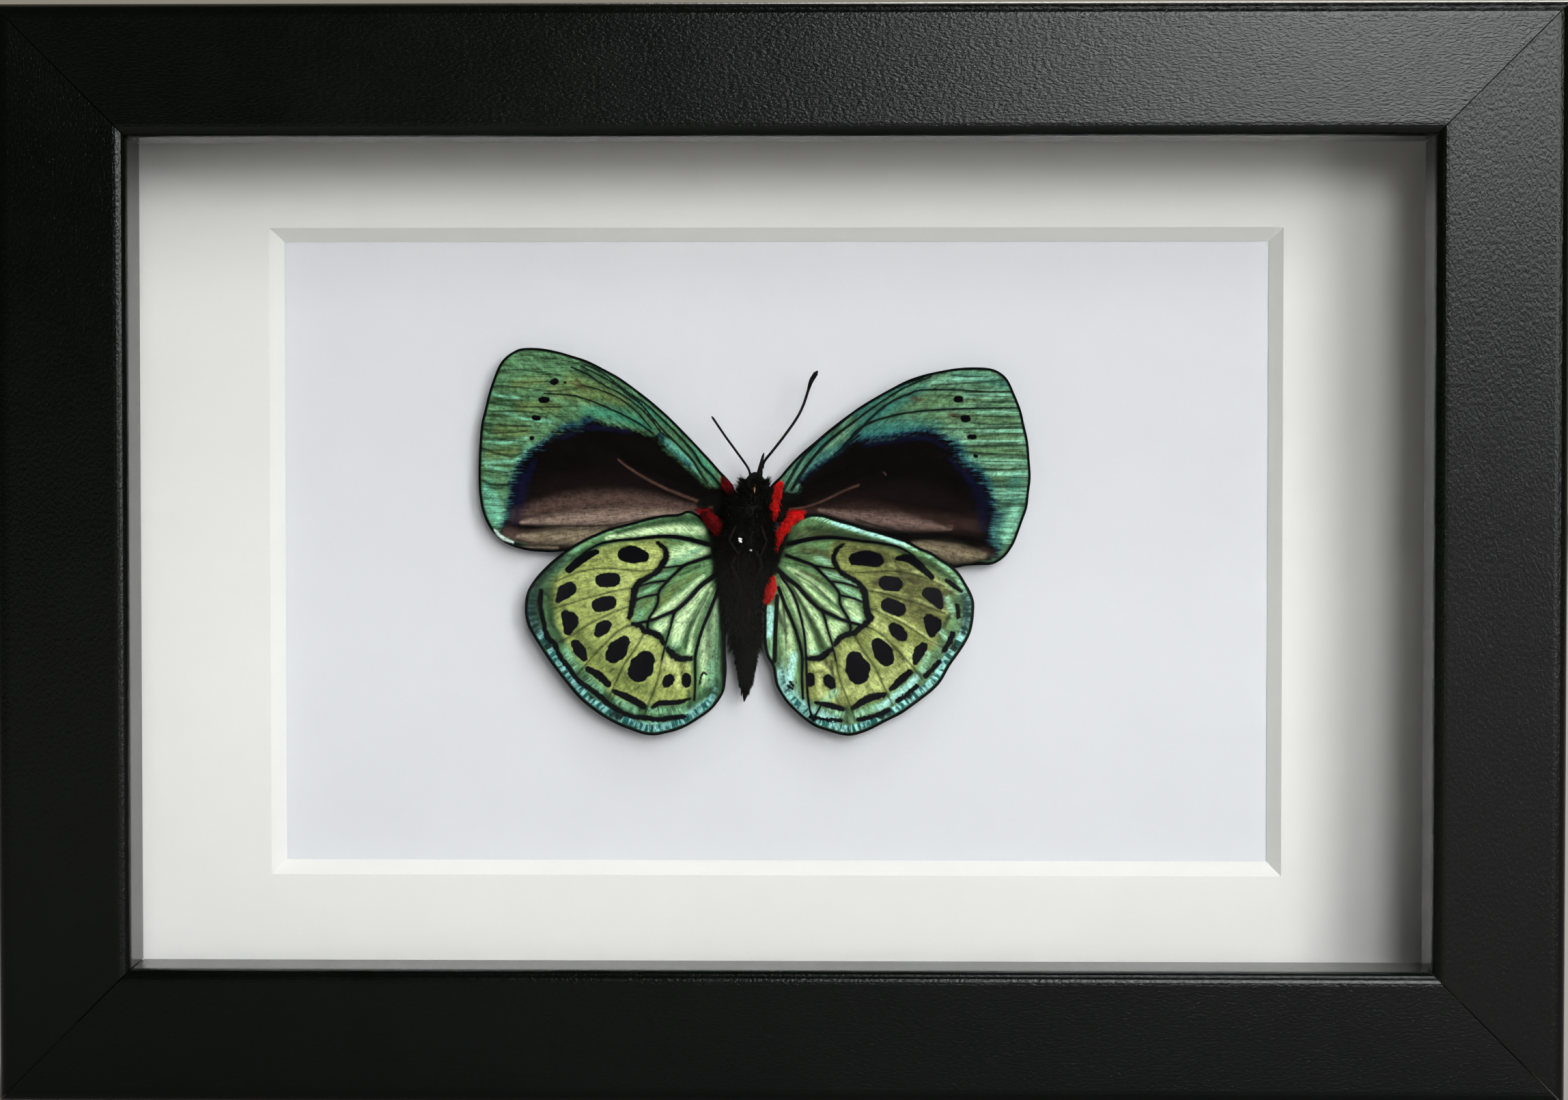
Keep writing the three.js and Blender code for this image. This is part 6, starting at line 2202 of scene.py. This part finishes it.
@dataclass
class Viewpoint:
    """Where the viewer stands, in mm and degrees."""

    place: tuple[float, float, float] = (10.26, -446.0, 73.9)
    tip: float = -1.975
    turn: float = 1.29
    lens: float = 93.22
    sensor: float = 36.0
    nearest: float = 10.0

    def build(self) -> None:
        """Makes the camera and sets it as the scene's."""
        data = bpy.data.cameras.new("viewpoint")
        data.lens = self.lens
        data.sensor_width = self.sensor
        data.clip_start = self.nearest * MM
        camera = bpy.data.objects.new("viewpoint", data)
        camera.location = Vector(self.place) * MM
        camera.rotation_euler = (math.radians(90 + self.tip), 0.0, math.radians(self.turn))
        bpy.context.scene.collection.objects.link(camera)
        bpy.context.scene.camera = camera


def report(piece: bpy.types.Object) -> None:
    """Logs a piece's name and how many faces it has."""
    LOG.info("%s: %d faces", piece.name, len(piece.data.polygons))


def wings() -> None:
    """Builds and dresses the four wings."""
    fore = {
        Side.LEFT: ForewingScales(name="forewing_scales_left", red=SHADED_RED).material(),
        Side.RIGHT: ForewingScales(
            name="forewing_scales_right", streak=80.0, ground=srgb(98, 138, 110), shadow=srgb(54, 84, 62),
            teal=srgb(34, 92, 84), mint=srgb(126, 184, 154), olive=srgb(66, 88, 56),
            taupe=srgb(102, 84, 77), tan=srgb(122, 110, 88), umber=srgb(42, 29, 25),
        ).material(),
    }
    hind = {
        Side.LEFT: HindwingScales(name="hindwing_scales_left", red=SHADED_RED).material(),
        Side.RIGHT: HindwingScales(
            name="hindwing_scales_right", gold=srgb(116, 124, 68), halo=srgb(164, 176, 110),
            ground=srgb(96, 134, 86), shadow=srgb(58, 82, 50), deep=srgb(38, 52, 32),
            bronze=srgb(64, 64, 38), margin=srgb(84, 114, 82), mint=srgb(136, 184, 150),
            lunule=srgb(142, 198, 188), frost=srgb(158, 212, 200), pale=srgb(174, 202, 150),
        ).material(),
    }
    for side, fore_plan, hind_plan in (
        (Side.LEFT, FOREWING_LEFT, HINDWING_LEFT), (Side.RIGHT, FOREWING_RIGHT, HINDWING_RIGHT),
    ):
        for pair, plan, depth, finish in (
            ("forewing", fore_plan, FOREWING_DEPTH, fore[side]),
            ("hindwing", hind_plan, HINDWING_DEPTH, hind[side]),
        ):
            wing = Wing(side, pair, plan, depth)
            if pair == "forewing":
                wing.shift, wing.grow = FOREWING_SHIFT, FOREWING_GROWTH[side]
            report(wing.finish(finish))


def body(shell: bpy.types.Material) -> None:
    """Builds and dresses the body.

    Args:
        shell: the bare shell's material.
    """
    finishes = {
        "chitin": shell,
        "fur": Chitin("dark_fur", srgb(2, 3, 2), srgb(15, 15, 10), roughness=0.65, sheen=0.06).material(),
        "eye": Chitin("eye_shell", srgb(5, 5, 4), srgb(20, 18, 12), roughness=0.3, sheen=0.2).material(),
        "tongue": Chitin(
            "tongue_shell", srgb(120, 72, 44), srgb(205, 145, 100), roughness=0.4, sheen=0.3,
        ).material(),
        "white": Chitin("white_dot_shell", srgb(215, 213, 208), srgb(240, 240, 238), roughness=0.5).material(),
    }
    for piece in Body().finish(finishes):
        report(piece)


def tufts() -> None:
    """Builds and dresses the red tufts at the wings' roots."""
    bright = Chitin("red_hair", srgb(165, 8, 10), srgb(228, 30, 20), roughness=0.55, sheen=0.12).material()
    # painted shade: the left tufts get this darker copy of the red hair, for the shade on that side
    dull = Chitin("shaded_red_hair", srgb(58, 2, 6), srgb(122, 9, 13), roughness=0.55, sheen=0.08).material()
    right_tufts = RedTufts(Side.RIGHT, (
        swell((0.5, 1.0, 0.95, 0.45), 3.75, 13.3, 3.3, 12.2, 2.9, 10.6, 2.75, 9.3),
        swell((0.5, 1.05, 0.9, 0.4), 6.1, 9.6, 4.8, 8.9, 3.6, 7.6, 3.0, 5.8),
        swell((0.5, 1.25, 0.6), 2.75, 2.9, 2.5, 1.6, 2.1, 0.1),
    ))
    left_tufts = RedTufts(Side.LEFT, (
        swell((0.4, 1.1, 0.5), -2.85, 13.8, -2.3, 12.8, -1.7, 11.9),
        swell((0.5, 1.5, 1.5, 0.6), -5.2, 9.9, -4.4, 9.2, -3.5, 8.4, -2.7, 7.3),
    ), seed=24)
    for pair, red in ((right_tufts, bright), (left_tufts, dull)):
        for piece in pair.finish(red):
            report(piece)


def feelers(shell: bpy.types.Material) -> None:
    """Builds and dresses the two feelers.

    Args:
        shell: the bare shell's material.
    """
    left = Antenna(Side.LEFT, (
        (0.3, -2.6, 14.0), (-0.01, -2.8, 14.9), (-1.36, -2.9, 16.8), (-2.44, -2.7, 18.27),
        (-3.98, -2.3, 20.5),
    ), radius=0.13, club=1.0)
    right = Antenna(Side.RIGHT, (
        (1.6, -2.6, 14.8), (1.87, -2.7, 15.57), (2.87, -2.9, 16.83), (4.13, -2.9, 18.45), (5.39, -2.7, 20.25),
        (6.11, -2.5, 21.69), (6.65, -2.4, 23.31), (7.01, -2.3, 24.4), (7.7, -2.1, 25.5),
    ), radius=0.15, club=1.75)
    for feeler in (left, right):
        report(feeler.finish(shell))


def main() -> None:
    """Builds everything in order and reports each piece."""
    logging.basicConfig(level=logging.INFO, format="%(message)s")
    bpy.context.scene.view_settings.view_transform = "Standard"
    Viewpoint().build()
    Room().build()
    LOG.info("frame: %s", ", ".join(FrameDressing().finish()))
    LOG.info("joints: %s", MitreGlue().finish().name)
    wings()
    shell = Chitin("chitin").material()
    body(shell)
    tufts()
    feelers(shell)


if __name__ == "__main__":
    main()
